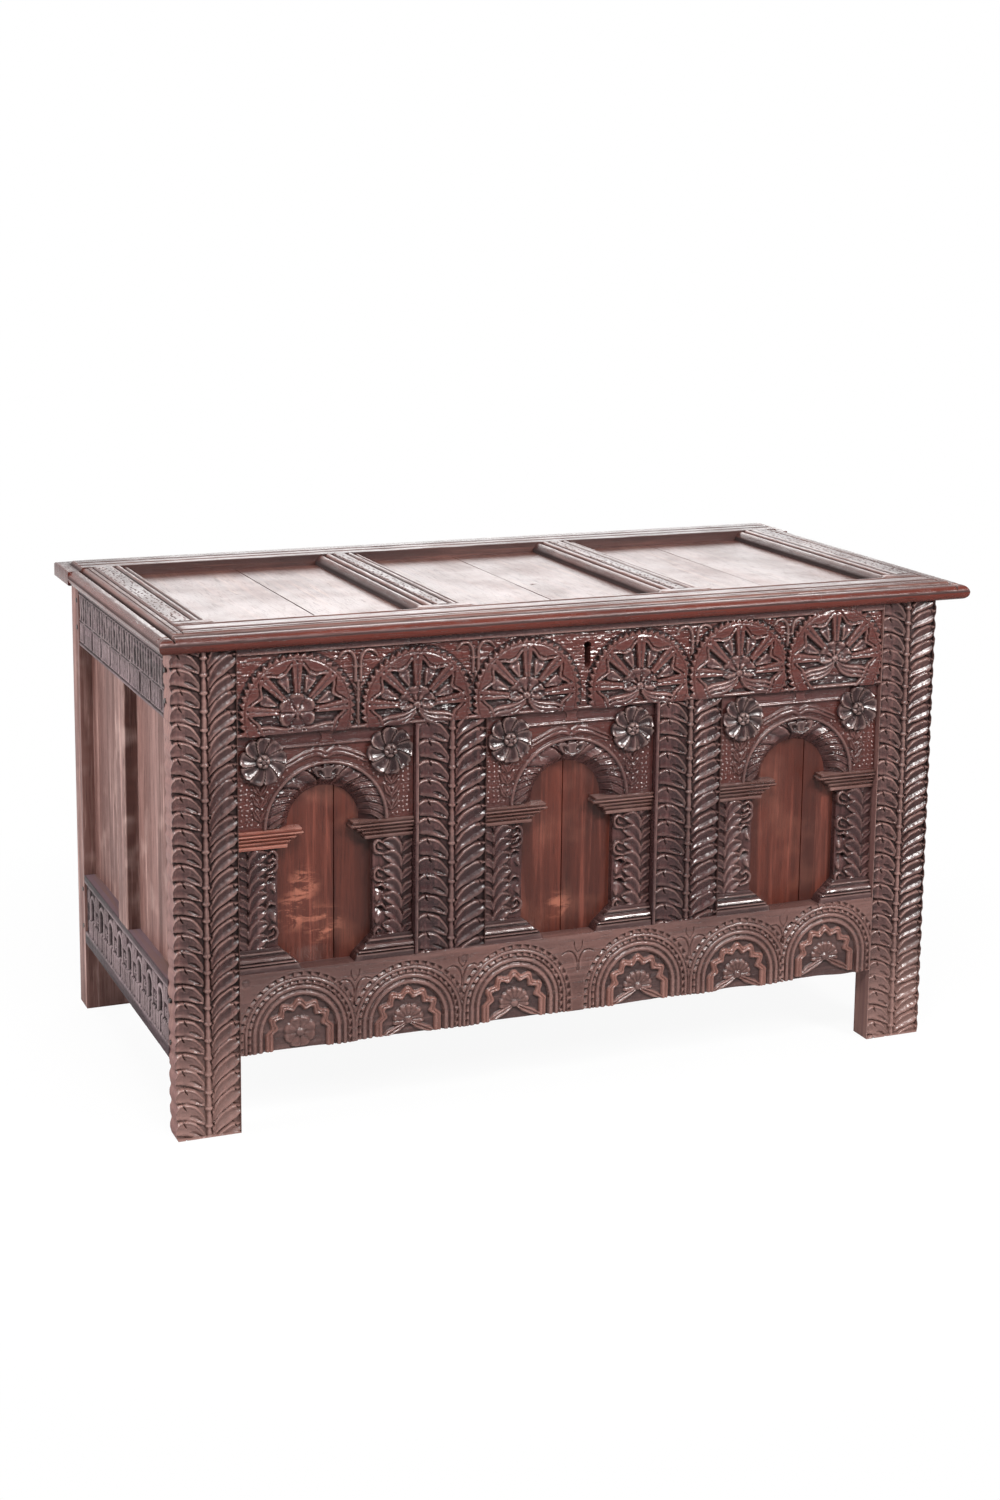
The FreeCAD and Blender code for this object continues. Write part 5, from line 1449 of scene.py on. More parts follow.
@dataclass
class Bay:
    """One arcaded bay of the front: arch board, rosettes, keystone, imposts, pilasters and bases."""

    name: str
    west: float
    east: float
    half_opening: float
    seed: int
    spring: float = 470.0
    arch_reveal: float = 4.0
    splay: float = 15.0
    field: float = -3.6
    band_low: float = 596.0
    pitch: float = 1.1

    @property
    def middle(self) -> float:
        """The centre line of the bay."""
        return (self.west + self.east) / 2

    @property
    def radius(self) -> float:
        """The radius of the arch at the face of its board."""
        return self.half_opening - self.arch_reveal

    def _arch_board(self) -> None:
        """The board over the arch, with its rib, its band of gadroons and its punched spandrels."""
        rng = np.random.default_rng(self.seed)
        node = f"arch_board_{self.name}"
        low, high = node_box(node)
        relief = Relief.over(low[0], high[0], low[2], high[2], self.pitch)
        mid, radius = self.middle, self.radius
        relief.sink(low[0] - 1, high[0] + 1, low[2] - 1, self.band_low, self.field, 0.9)
        relief.sink(low[0] - 1, high[0] + 1, self.band_low, high[2] + 1, -2.4, 0.4)
        post = np.abs(relief.u - mid) < 8 + 7 * ((relief.v - 607) / 10) ** 2
        relief.paint(WHOLE, post & (relief.v > 597), -0.6, 0.6)
        relief.paint(WHOLE, (np.abs(relief.v - 595.5) < 2.2) & (np.abs(relief.u - mid) < 76),
                     -3.4 + 3.1 * np.sqrt(bump(relief.v, 595.5, 2.2)), 0.4)
        for row in np.arange(478, 592, 8.0):
            for place in np.arange(low[0] + 6, high[0] - 4, 8.0):
                x, z = place + rng.uniform(-1.6, 1.6), row + rng.uniform(-1.6, 1.6)
                if math.hypot(x - mid, z - self.spring) > radius + 31 and z < 566:
                    dot = Stroke([(x, z), (x + 0.6, z)], (2.0, 2.0))
                    relief.lift(dot, -1.9, self.field, round_section, 0.7)
        for way in WAYS:
            for drop in (0.0, 6.5):
                line = placed(mid, -drop, way, (2, 582), (14, 587), (34, 583), (66, 569))
                relief.lift(Stroke(line, (3.2, 3.4, 3.2, 1.6)), -1.0, self.field, round_section, 0.5)
            sprig = mid + way * (self.east - self.west) * 0.37
            for turn in WAYS:
                for base in (484, 505, 524):
                    leaf = placed(sprig, base, turn, (0, 0), (6, 9), (12, 21))
                    relief.lift(Stroke(leaf, (1.5, 5.2, 1.4)), -0.2, self.field, feather_section, 0.5)
        r, gadroon = self._gadroons(relief, rng)
        relief.paint(WHOLE, (r < radius + 21.5) & (r >= radius - 6), gadroon, 0.2)
        relief.paint(WHOLE, np.abs(r - radius - 24.5) < 3.2,
                     self.field + 3.5 * np.sqrt(bump(r, radius + 24.5, 3.2)), 0.2)
        relief.age(rng, 0.22)
        relief.trim(r - radius)

        def behind(u: Array, v: Array) -> tuple[Array, Array]:
            """Where the points of the face come out at the back of the splayed arch.

            Args:
                u: Their places across.
                v: Their places up.

            Returns:
                The places across and up at the back.
            """
            out = np.hypot(u - mid, v - self.spring)
            pull = 1 - self.splay * (1 - step(out, radius, radius + 24)) / np.maximum(out, 1)
            return mid + (u - mid) * pull, self.spring + (v - self.spring) * pull

        board = Board.front(f"carved_{node}", relief, node, under=np.zeros_like(relief.h), behind=behind)
        fit(board, ARCADE, Grain.ACROSS, node)

    def _gadroons(self, relief: Relief, rng: Dice) -> tuple[Array, Array]:
        """The band of leafy gadroons round the arch.

        Args:
            relief: The board's face.
            rng: The source of the leaves' widths.

        Returns:
            Each grid point's distance from the arch's centre, and the height of the band there.
        """
        radius = self.radius
        r = np.hypot(relief.u - self.middle, relief.v - self.spring)
        a = np.degrees(np.arctan2(relief.v - self.spring, relief.u - self.middle))
        side_cuts = np.cumsum(rng.uniform(8.0, 14.5, 6))
        side_cuts = side_cuts / side_cuts[-1] * 54
        cuts = np.concatenate([side_cuts, [75, 90, 105], 126 + side_cuts])
        lean = a + (r - radius - 11) * 0.55 * np.where(a > 90, -1, 1)
        before = np.searchsorted(cuts, np.clip(lean, 0, 179.9))
        start = np.concatenate([[0], cuts])[before]
        phase = np.clip((lean - start) / (cuts[before] - start), 0, 1)
        turned = np.where(a > 90, 1 - phase, phase)
        leafy = np.interp(turned, (0, 0.06, 0.2, 0.36, 0.5, 0.66, 0.86, 1),
                          (0, 0.5, 0.72, 0.5, 0.8, 0.6, 1, 0.1))
        scoop = np.interp(phase, (0, 0.08, 0.5, 0.92, 1), (0.2, 1, 0.15, 1, 0.2))
        crown = (np.abs(a - 90) < 36) & (np.abs(a - 90) > 15)
        gadroon = -5.4 + 5.2 * np.where(crown, scoop, leafy)
        return r, gadroon - 1.8 * step(r, radius + 15, radius + 21) - 1.2 * step(r, radius + 6, radius)

    def _moulding(self, node: str, profile: Moulding) -> None:
        """The imposts or bases of the bay, each with a shaped inner end.

        Args:
            node: The CAD node.
            profile: Their section.
        """
        low, high = node_box(node)
        width = self.middle - self.half_opening - low[0]
        for way, side, outer in ((1, "left", low[0]), (-1, "right", high[0])):
            fine = np.arange(low[2], high[2] + 0.01, 0.55)
            relief = Relief(np.linspace(0, 1, 46), fine)
            reach = width + np.interp(fine, profile.levels, profile.reaches)
            share = relief.u.copy()
            relief.u = outer + way * share * reach[:, None]
            relief.h = relief.h + np.interp(fine, profile.levels, profile.depths)[:, None]
            relief.h = relief.h - 1.2 * step(share, 0.985, 1.0)
            rng = np.random.default_rng(self.seed + (5 if way > 0 else 6))
            relief.h = np.minimum(relief.h + 0.25 * uneven(relief.h.shape, (8, 6), rng), 0)
            relief.ground[:] = profile.red
            if way < 0:
                relief.u, relief.h = relief.u[:, ::-1], relief.h[:, ::-1]
            relief.across = np.linspace(0, 46, 46)
            board = Board.front(f"{profile.title}_{self.name}_{side}", relief, node, sharp=38.0)
            rubbed = MOULDED if (self.name, side) == ("left", "left") else DULLED
            fit(board, rubbed if profile is IMPOST else POLISHED, Grain.ACROSS, node)

    def _pilaster(self, way: int) -> None:
        """One pilaster: an ear of leaves beside scrolls with two smooth buds.

        Args:
            way: 1 for the left one, -1 for the right one.
        """
        node = f"pilasters_{self.name}"
        low, high = node_box(node)
        outer = low[0] if way > 0 else high[0]
        inner = self.middle - way * self.half_opening
        relief = Relief.over(min(outer, inner), max(outer, inner), low[2], high[2], self.pitch)
        rng = np.random.default_rng(self.seed + 20 + way)
        ground = -6.0
        mussel, scoop = self._handed(mussel_section, -way), self._handed(scoop_section, way)
        relief.h[:] = ground
        relief.ground[:] = 0.3
        for level in np.arange(low[2] - 14, high[2] + 16, 22.0):
            tip = level + rng.uniform(-1.2, 1.2)
            small = placed(outer, tip, way, (17, -12), (9, -2), (-1, 3))
            relief.lift(Stroke(small, (1.4, 6.4, 4.0)), -0.6, ground, mussel)
            large = placed(outer, tip, way, (18, -17), (25, -3), (34, 5), (44, 7))
            relief.lift(Stroke(large, (1.6, 9.6, 10.4, 4.6)), -0.2, ground, scoop)
        quirk = placed(outer, 0, way, (17, low[2] - 5), (17, high[2] + 5))
        relief.gouge(Stroke(quirk, (1.3, 1.3), 24), 2.4, vee_section)
        self._buds(relief, outer + way * 45, inner, low[2], way)
        relief.age(rng)
        name = f"carved_pilaster_{self.name}_{'left' if way > 0 else 'right'}"
        fit(Board.front(name, relief, node), ARCADE, Grain.UPRIGHT, node)

    @staticmethod
    def _handed(section: Section, way: int) -> Section:
        """A section as it is for 1, mirrored for -1."""
        return lambda side, along: section(side * way, along)

    @staticmethod
    def _buds(relief: Relief, west: float, inner: float, low: float, way: int) -> None:
        """The scrolls down the inner edge of a pilaster and the two smooth buds among them.

        Args:
            relief: The pilaster's face.
            west: Where the scrolls begin, next to the leaves.
            inner: The edge at the opening.
            low: The foot of the pilaster.
            way: 1 for the left pilaster, -1 for the right one.
        """
        def at(share: float, level: float) -> Point:
            """A place by its share of the way to the inner edge."""
            return west + (inner - west) * share, low + level

        upper, lower = (97, 52) if way > 0 else (65, 31)
        for top in (152, upper + 43, lower - 18):
            curl = [at(0.1, top - 24), at(0.75, top - 20), at(0.95, top - 10), at(0.6, top - 2),
                    at(0.2, top - 6)]
            relief.lift(Stroke(curl, (1.4, 3.0, 3.2, 2.8, 1.2)), -0.6, -6.0)
            core = [at(0.2, top - 16), at(0.55, top - 13), at(0.6, top - 8)]
            relief.lift(Stroke(core, (1.2, 2.4, 1.2)), -1.4, -6.0)
        for level, size in ((upper, 0.85), (lower, 1.0)):
            shape = Stroke([at(0.3, level + 11 * size), at(0.5, level + 2), at(0.72, level - 12 * size)],
                           (9.0 * size, 9.5 * size, 1.5), 8)
            relief.gouge(shape, 5.0, flat_section)
            relief.lift(shape, 0.0, -11.5, lambda side, along: (0.06 + 0.94 * along) * (1 - 0.12 * side**2))
            # The buds are kept free of the soiling and painted shade of the hollows.
            window, apart, _ = relief.polar(*at(0.5, level - 1), 14.0 * size)
            relief.clean[window] = 1 - step(apart, 9.0 * size, 13.0 * size)
            lip = [at(-0.1, level + 8 * size), at(0.25, level + 17 * size), at(0.75, level + 15 * size)]
            relief.lift(Stroke(lip, (1.2, 2.8, 1.4)), -0.2, -6.0)

    def _keystone(self) -> None:
        """The small gouged cup at the crown of the arch."""
        foot = self.spring + self.radius
        tall = 20.5
        relief = Relief(np.linspace(-1, 1, 52), np.linspace(foot, foot + tall, 28))
        share, rise = relief.u.copy(), (relief.v - foot) / tall
        relief.u = self.middle + share * (12 + 12.5 * rise**0.6)
        lobes = bump(np.abs(share), 0.36, 0.12) + step(np.abs(share), 0.8, 1.0)
        relief.v = foot + (relief.v - foot) * (1.0 - 0.14 * lobes) + 2.6 * (1 - rise) * share**2
        cup = -0.1 - 1.2 * np.abs(share) ** 3 - 1.6 * step(rise, 0.94, 1.0)
        hollows = 4.4 * sum(bump(share - 0.1 * spot, spot, 0.3) for spot in (-0.5, 0.5))
        relief.h = np.minimum(cup - hollows * band(rise, 0.08, 0.82, 0.3) - 2.0 * bump(rise, 0.1, 0.07), 0)
        relief.across = np.linspace(0, 52, 52)
        board = Board.front(f"keystone_{self.name}", relief, "keystones")
        fit(board, POLISHED, Grain.UPRIGHT, "keystones")

    def _rosettes(self) -> None:
        """The applied flower in each spandrel."""
        high = node_box("rosettes")[1]
        for number, place in enumerate((self.west + 40, self.east - 40)):
            rng = np.random.default_rng(self.seed + 70 + number)
            petals = int(rng.integers(8, 10))
            start = rng.uniform(0, 1)

            def height(r: Array, turn: Array) -> Array:
                """Pinwheel petals dished towards their roots, and a knobbed hub.

                Args:
                    r: The share of the way from the centre to the rim.
                    turn: The angle in radians.

                Returns:
                    The height.
                """
                phase = (turn / (2 * math.pi) * petals + start + 0.55 * r) % 1
                edge = np.interp(phase, (0, 0.05, 0.16, 0.42, 0.7, 0.94, 1),
                                 (0.05, 0.7, 0.5, 0.2, 0.5, 1.0, 0.05))
                rise = np.clip((r - 0.26) / 0.62, 0, 1)
                petal = 0.8 + 7.8 * (0.35 * edge + 0.65 * edge * rise) + 0.8 * bump(r, 0.9, 0.1)
                petal = petal - 2.6 * step(r, 0.94, 1.0)
                knobs = 3.0 + 5.8 * np.sqrt(np.clip(1 - ((r - 0.17) / 0.12) ** 2, 0, 1))
                knobs = knobs * (0.5 + 0.5 * np.abs(np.sin(turn * 2.5 + start * 6)) ** 0.6)
                knobs = np.where(r < 0.08, 8.2, knobs)
                return np.clip(np.where(r < 0.28, knobs, petal), 0.4, 9.0)

            def outline(turn: Array) -> Array:
                """A scalloped rim."""
                phase = (turn / (2 * math.pi) * petals + start + 0.55) % 1
                return 0.8 + 0.2 * np.sin(math.pi * phase) ** 0.5

            name = f"rosette_{self.name}_{number + 1}"
            disc = Disc(name, (place, 577.5), -high[1], 37.9, height, outline)
            dress(disc.build(), "carcass", FLOWER.material(Grain.UPRIGHT), ["rosettes"])

    def build(self) -> None:
        """Builds every piece of the bay."""
        self._arch_board()
        self._moulding(f"imposts_{self.name}", IMPOST)
        self._moulding(f"pilaster_bases_{self.name}", BASE)
        self._pilaster(1)
        self._pilaster(-1)
        self._keystone()
        self._rosettes()


@dataclass
class EndRails:
    """The two carved rails of one end: reeds and slots above, a row of small niches below."""

    side: Facing
    face: float
    front_y: float = 22.5
    slots: tuple[float, ...] = (246, 182, 119, 54, -11, -77, -141, -207, -270)
    niches: tuple[float, ...] = (224, 157, 90, 27.5, -39, -104, -169, -235, -298)
    field: float = -4.2
    pitch: float = 1.2

    @property
    def title(self) -> str:
        """Which end it is."""
        return "left" if self.side is Facing.LEFT else "right"

    def _across(self, y: float) -> float:
        """The place across the face of a depth counted from the middle of the carcass."""
        return self.front_y - y if self.side is Facing.LEFT else y - self.front_y

    def _face(self, node: str) -> Relief:
        """The uncut face of one rail, between the stiles.

        Args:
            node: The CAD node.

        Returns:
            The face.
        """
        low, high = node_box(node)
        ends = (node_box(f"front_stile_{self.title}")[1][1], node_box(f"rear_stile_{self.title}")[0][1])
        west, east = sorted(-y if self.side is Facing.LEFT else y for y in ends)
        return Relief.over(west, east, low[2], high[2], self.pitch)

    def _top(self, rng: Dice) -> None:
        """The fluted rail, with a row of slots and reeded blocks in its lower half.

        Args:
            rng: The source of its unevenness.
        """
        node = f"{self.title}_end_top_rail"
        relief = self._face(node)
        wander = 3.5 * uneven(relief.u.shape, (16, 9), rng)
        flute = 0.5 + 0.5 * np.cos(2 * math.pi * (relief.u + wander) / 17.0)
        flute = np.maximum(flute, 0.6 * (0.5 - 0.5 * np.cos(2 * math.pi * (relief.u + wander) / 8.5)))
        upper = band(relief.v, 691, 735, 3)
        relief.h -= 8.4 * flute**1.2 * upper * (0.65 + 0.35 * uneven(relief.u.shape, (9, 4), rng))
        lower = band(relief.v, 655, 688, 2)
        reed = 0.5 + 0.5 * np.cos(2 * math.pi * relief.u / 9.4)
        relief.h -= (0.6 + 3.8 * reed**3) * lower
        for y in self.slots:
            beside = np.abs(relief.u - self._across(y))
            relief.h -= 6.0 * (1 - step(beside, 4.6, 6.2)) * lower
        for level in (652.5, 689.5, 737):
            relief.h -= 2.6 * bump(relief.v, level, 2.0)
        # Painted shade: the deeper the recess, the more near-black stain it takes.
        relief.ground = step(-relief.h, 1.2, 4.2)
        self._finish(node, relief, rng)

    def _bottom(self, rng: Dice) -> None:
        """The rail with its small arched niches, flutes and stars.

        Args:
            rng: The source of its unevenness.
        """
        node = f"{self.title}_end_bottom_rail"
        relief = self._face(node)
        relief.h += self.field * band(relief.v, 140, 229, 1.5)
        for y in self.niches:
            x = self._across(y)
            top = np.hypot(relief.u - x, np.maximum(relief.v - 200, 0))
            side = np.abs(relief.u - x)
            arch = np.where(relief.v > 200, top, side)
            height = (relief.v > 172) & (relief.v < 229)
            relief.paint(WHOLE, height & (np.abs(arch - 16.5) < 3.2),
                         np.maximum(relief.h, -0.3 - 1.5 * ((arch - 16.5) / 3.2) ** 2))
            # The niches take most of the near-black stain, a painted shade in their depth.
            relief.paint(WHOLE, (relief.v > 173) & (arch < 13), -8.5 + 1.5 * step(arch, 11, 13), 0.8)
            strokes = []
            for way in WAYS:
                for place in (24.0, 31.5):
                    flute = placed(x, 0, way, (place, 201), (place, 218), (place - 3, 226))
                    dart = placed(x, 0, way, (place - 5, 141), (place - 5, 168))
                    strokes += [Stroke(flute, (2.6, 2.8, 1.6)), Stroke(dart, (2.8, 2.8))]
                strokes.append(Stroke(placed(x, 0, way, (8.5, 141), (8.5, 170)), (3.4, 3.4)))
            for stroke in strokes:
                relief.lift(stroke, -0.3, self.field)
            for turn in (0.0, 1.05, 2.1):
                tip = (9 * math.cos(turn), 9 * math.sin(turn))
                ray = placed(x + 32.5, 184, 1, (-tip[0], -tip[1]), (0, 0), tip)
                relief.lift(Stroke(ray, (1, 4.2, 1)), -0.3, self.field, vee_section)
        self._finish(node, relief, rng)

    def _posts(self, rng: Dice) -> None:
        """The muntin, with a bead run along each edge.

        Args:
            rng: The source of its unevenness.
        """
        node = f"{self.title}_end_muntin"
        low, high = node_box(node)
        sides = sorted(-y if self.side is Facing.LEFT else y for y in (low[1], high[1]))
        relief = Relief(np.linspace(sides[0], sides[1], 64), np.linspace(242, 648, 204))
        for edge, way in ((sides[0], 1), (sides[1], -1)):
            inset = (relief.u - edge) * way
            relief.h -= 2.2 * (1 - step(inset, 0, 3)) + 2.0 * bump(inset, 6.0, 1.6)
        self._finish(node, relief, rng, "moulded", 0.3, END, Grain.UPRIGHT)

    def _finish(self, node: str, relief: Relief, rng: Dice, work: str = "carved",
                amount: float = 0.35, finish: OakFinish = END_RAIL, grain: Grain = Grain.INWARD) -> None:
        """Ages the face of a piece and fits the piece.

        Args:
            node: The CAD node.
            relief: Its face.
            rng: The source of its unevenness.
            work: What was done to it, which begins its name.
            amount: How uneven it is.
            finish: Its finish.
            grain: The way of its fibres.
        """
        relief.age(rng, amount)
        low, high = node_box(node)
        board = Board(f"{work}_{node}", relief, self.side, self.face, high[0] - low[0])
        fit(board, finish, grain, node)

    def build(self) -> None:
        """Builds both rails and the muntin."""
        rng = np.random.default_rng(61 if self.side is Facing.LEFT else 62)
        self._top(rng)
        self._bottom(rng)
        self._posts(rng)


@dataclass
class Lid:
    """The lid: a moulded frame round three panels of two boards each."""

    top: float = 780.0
    thickness: float = 30.0
    nose_radius: float = 12.0
    boards: tuple[float, ...] = (188.0, 176.0, 150.0)

    @staticmethod
    def _lines(marks: Sequence[Point], end: float) -> Array:
        """Grid lines with their own spacing in each stretch.

        Args:
            marks: The start of each stretch and the spacing in it.
            end: The end of the last stretch.

        Returns:
            The places of all the lines.
        """
        starts = [m[0] for m in marks] + [end]
        parts = [np.linspace(a, b, max(1, round((b - a) / marks[n][1])), endpoint=False)
                 for n, (a, b) in enumerate(zip(starts, starts[1:]))]
        return np.concatenate([*parts, [end]])

    def _round(self, inset: Array) -> Array:
        """How far the nose has fallen at a distance from its outer edge."""
        short = np.clip(self.nose_radius - inset, 0, self.nose_radius)
        return self.nose_radius - np.sqrt(np.maximum(self.nose_radius**2 - short**2, 0))

    def _outer(self, inset: Array) -> Array:
        """The section from the outer edge inwards: nose, groove and bead.

        Args:
            inset: The distance from the edge.

        Returns:
            The height.
        """
        profile = np.interp(inset, (0, 18, 21, 23, 24.5, 26, 28, 33, 34, 35, 41, 42.5, 44, 47),
                            (-6, -6, -8.0, -12.5, -11.5, -4.2, -2.4, -1.6, -3.6, -1.4, -0.9, -4.4, -1.4, 0))
        return profile - np.where(inset < self.nose_radius, self._round(inset), 0)

    @staticmethod
    def _inner(inset: Array) -> Array:
        """The section from a panel's edge outwards: slope, quirk and ridge.

        Args:
            inset: The distance from the edge.

        Returns:
            The height.
        """
        return np.interp(
            inset, (0, 1.5, 4, 7, 10, 13, 15.5, 17, 18.5, 20, 23, 26, 29, 31, 33, 35.5, 37.5),
            (-13, -10.5, -8, -5, -3.2, -2.8, -5.6, -8.4, -6.0, -1.7, -0.4, -0.4, -2.2, -5.0, -2.0, -0.3, 0))

    @staticmethod
    def _beside(inset: Array) -> Array:
        """The upper ridge alone, where no panel lies beside it."""
        return np.interp(inset, (0, 17, 18.5, 20, 23, 26, 29, 31, 33, 35.5, 37.5),
                         (-0.5, -0.8, -4.4, -1.7, -0.4, -0.4, -2.2, -5.0, -2.0, -0.3, 0))

    def _bays(self) -> list[Point]:
        """The openings of the frame from left to right."""
        names = ("lid_stile_left", "lid_muntin_left", "lid_muntin_right", "lid_stile_right")
        boxes = [node_box(name) for name in names]
        return [(a[1][0], b[0][0]) for a, b in zip(boxes, boxes[1:])]

    def _dots(self, relief: Relief, west: float, east: float, rng: Dice) -> None:
        """Rows of punched dots down a flat.

        Args:
            relief: The face.
            west: The flat's left edge.
            east: The flat's right edge.
            rng: The source of their unevenness.
        """
        low, high = relief.up[0], relief.up[-1]
        for row in np.arange(low + 8, high - 6, 9.5):
            for place in np.linspace(west + 5, east - 5, 3):
                if rng.uniform() < 0.72:
                    spot = (place + rng.uniform(-3, 3), row + rng.uniform(-4, 4))
                    relief.gouge(Stroke([spot, (spot[0] + 0.5, spot[1] + 0.8)], (1.7, 1.7)), 1.3)

    def _member(self, node: str, relief: Relief, under: Array, grain: Grain,
                edge: Array | None = None) -> None:
        """Ages and builds one member of the frame.

        Args:
            node: The CAD node.
            relief: Its top face.
            under: How far its lower face rises.
            grain: The fibre direction.
            edge: The distance from the rounded edge, where it has one.
        """
        rng = np.random.default_rng(len(node) * 7 + round(relief.across[0]) % 97)
        relief.h += 0.22 * uneven(relief.h.shape, (9, 9), rng) * step(-relief.h, -0.2, 0.6)
        relief.h = np.minimum(relief.h, 0)
        if edge is not None:
            # The nose is stained red; the stain thins over its rounded top, a painted shade so that the lit
            # top reads less red, and it ends at the groove.
            relief.ground = 1 - 0.72 * step(edge, 4.0, 9.0) - 0.28 * step(edge, 19.0, 21.5)
        board = Board(f"moulded_{node}", relief, Facing.TOP, self.top, self.thickness, under, sharp=42.0)
        fit(board, LID_FRAME, grain, node, "lid")

    def _front(self) -> None:
        """The front rail, whose nose returns at both ends."""
        low, high = node_box("lid_front_rail")
        xs = self._lines(((low[0], 0.9), (low[0] + 46, 6.5), (high[0] - 46, 0.9)), high[0])
        ys = self._lines(((low[1], 0.8), (low[1] + 46, 3.0), (high[1] - 40, 0.9)), high[1])
        relief = Relief(xs, ys)
        end = np.minimum(relief.u - low[0], high[0] - relief.u)
        front = relief.v - low[1]
        relief.h = np.minimum(self._outer(front), self._outer(end))
        inner = high[1] - relief.v
        beside = np.any([(relief.u > a) & (relief.u < b) for a, b in self._bays()], axis=0)
        rest = np.where(end > 45, self._beside(inner), 0)
        relief.h = np.minimum(relief.h, np.where(beside, self._inner(inner), rest))
        under = np.maximum(self._round(end), self._round(front))
        relief.h = np.maximum(relief.h, under - self.thickness + 2.0)
        self._member("lid_front_rail", relief, under, Grain.ACROSS, np.minimum(end, front))

    def _rear(self) -> None:
        """The rear rail: square ends, a grooved band and a worn rear ledge."""
        low, high = node_box("lid_rear_rail")
        xs = self._lines(((low[0], 1.5), (low[0] + 30, 4.5), (high[0] - 30, 1.5)), high[0])
        ys = self._lines(((low[1], 1.2),), high[1])
        relief = Relief(xs, ys)
        rng = np.random.default_rng(77)
        end = np.minimum(relief.u - low[0], high[0] - relief.u)
        inset = relief.v - low[1]
        relief.h = np.interp(inset, (0, 2, 20, 22, 25, 27, 44, 46, 49, 51, 74, 77, 79, 105, 108),
                             (-1.2, 0, 0, -1.6, -1.6, 0, 0, -1.4, -1.4, 0, 0, -2.5, -5.5, -6, -8.5))
        relief.h = np.minimum(relief.h, np.interp(end, (0, 1.5, 22, 25), (-7.2, -6, -6, 0)))
        wear = uneven(relief.h.shape, (2.5, 10), rng)
        relief.h -= 0.5 * np.clip(wear, 0, 1)
        self._member("lid_rear_rail", relief, 1.2 * (1 - step(end, 0, 2)), Grain.ACROSS, end)

    def _crosspieces(self) -> None:
        """The two stiles, with noses, and the two muntins."""
        inner_front, inner_back = node_box("lid_front_rail")[1][1], node_box("lid_rear_rail")[0][1]
        rng = np.random.default_rng(88)
        for node in ("lid_stile_left", "lid_muntin_left", "lid_muntin_right", "lid_stile_right"):
            low, high = node_box(node)
            relief = Relief(self._lines(((low[0], 0.9),), high[0]),
                            self._lines(((inner_front, 1.9),), inner_back))
            west, east = relief.u - low[0], high[0] - relief.u
            under, edge = np.zeros_like(relief.h), None
            if node == "lid_stile_left":
                relief.h = np.minimum(self._outer(west), self._inner(east))
                under, edge = self._round(west), west
                flat = (low[0] + 45, high[0] - 37)
            elif node == "lid_stile_right":
                relief.h = np.minimum(self._outer(east), self._inner(west))
                under, edge = self._round(east), east
                flat = (low[0] + 37, high[0] - 45)
            else:
                relief.h = np.minimum(self._inner(east), self._inner(west))
                flat = (low[0] + 30, high[0] - 30)
            relief.h = np.maximum(relief.h, under - self.thickness + 2.0)
            self._dots(relief, *flat, rng)
            self._member(node, relief, under, Grain.INWARD, edge)

    def _panels(self) -> None:
        """The three sunk panels, each of two boards with an open joint."""
        for number, name in enumerate(("left", "centre", "right")):
            node = f"lid_panel_{name}"
            low, high = node_box(node)
            joint = low[0] + self.boards[number]
            for part, (west, east) in enumerate(((low[0], joint - 0.9), (joint + 0.9, high[0]))):
                relief = Relief.over(west, east, low[1], high[1], 5.0)
                rng = np.random.default_rng(91 + number * 2 + part)
                relief.h -= 0.35 + 0.35 * uneven(relief.h.shape, (30, 9), rng)
                if number == 1:
                    relief.gouge(Stroke([(32.0, -50.0), (33.5, -50.0)], (3.0, 3.0)), 3.0)
                board = Board(f"{node}_board_{part + 1}", relief, Facing.TOP, high[2], high[2] - low[2])
                fit(board, LID_PANEL, Grain.INWARD, node, "lid")

    def build(self) -> None:
        """Builds the whole lid."""
        self._front()
        self._rear()
        self._crosspieces()
        self._panels()


# ---- plain parts of the frame


@dataclass(frozen=True)
class PlainParts:
    """The nodes that stay as they are built and get eased edges and a finish."""

    nodes: dict[str, bpy.types.Object]
    ease: float = 0.0009

    def _dress(self, names: Sequence[str], material: bpy.types.Material, ease: float) -> None:
        """Gives nodes a finish and eased edges.

        Args:
            names: The nodes.
            material: The finish.
            ease: The width of the eased edge, in metres.
        """
        for name in names:
            node = self.nodes[name]
            node.data.materials.clear()
            node.data.materials.append(material)
            weld = node.modifiers.new("weld", "WELD")
            weld.merge_threshold = 0.00001
            bevel = node.modifiers.new("ease", "BEVEL")
            bevel.width, bevel.segments, bevel.limit_method = ease, 2, "ANGLE"
            bevel.angle_limit = math.radians(35)
            node.data.shade_smooth()
            node.data.set_sharp_from_angle(angle=math.radians(35))
            LOG.info("%s: dressed", name)

    def build(self) -> None:
        """Dresses every node that no carved piece replaces."""
        bays = ("left", "centre", "right")
        self._dress([f"front_panel_{bay}" for bay in bays], PANEL.material(Grain.UPRIGHT), 0.0006)
        for side in ("left", "right"):
            self._dress([f"{side}_end_panels"], END.material(Grain.UPRIGHT), 0.0006)
            self._dress([f"rear_stile_{side}"], END.material(Grain.UPRIGHT), 0.0016)
        self._dress(["rear_top_rail", "rear_bottom_rail"], PLAIN.material(Grain.ACROSS), self.ease)
        self._dress(["rear_muntins", "rear_panels"], PLAIN.material(Grain.UPRIGHT), self.ease)
        self._dress(["floor_boards"], PLAIN.material(Grain.INWARD), self.ease)
        self._dress(["frame_pegs"], PEG.material(Grain.ACROSS), 0.0006)
        iron = [name for name in self.nodes if name.startswith(("hinge_", "lock_"))]
        self._dress(sorted(iron), IRON.material(), 0.0004)


# ---- studio


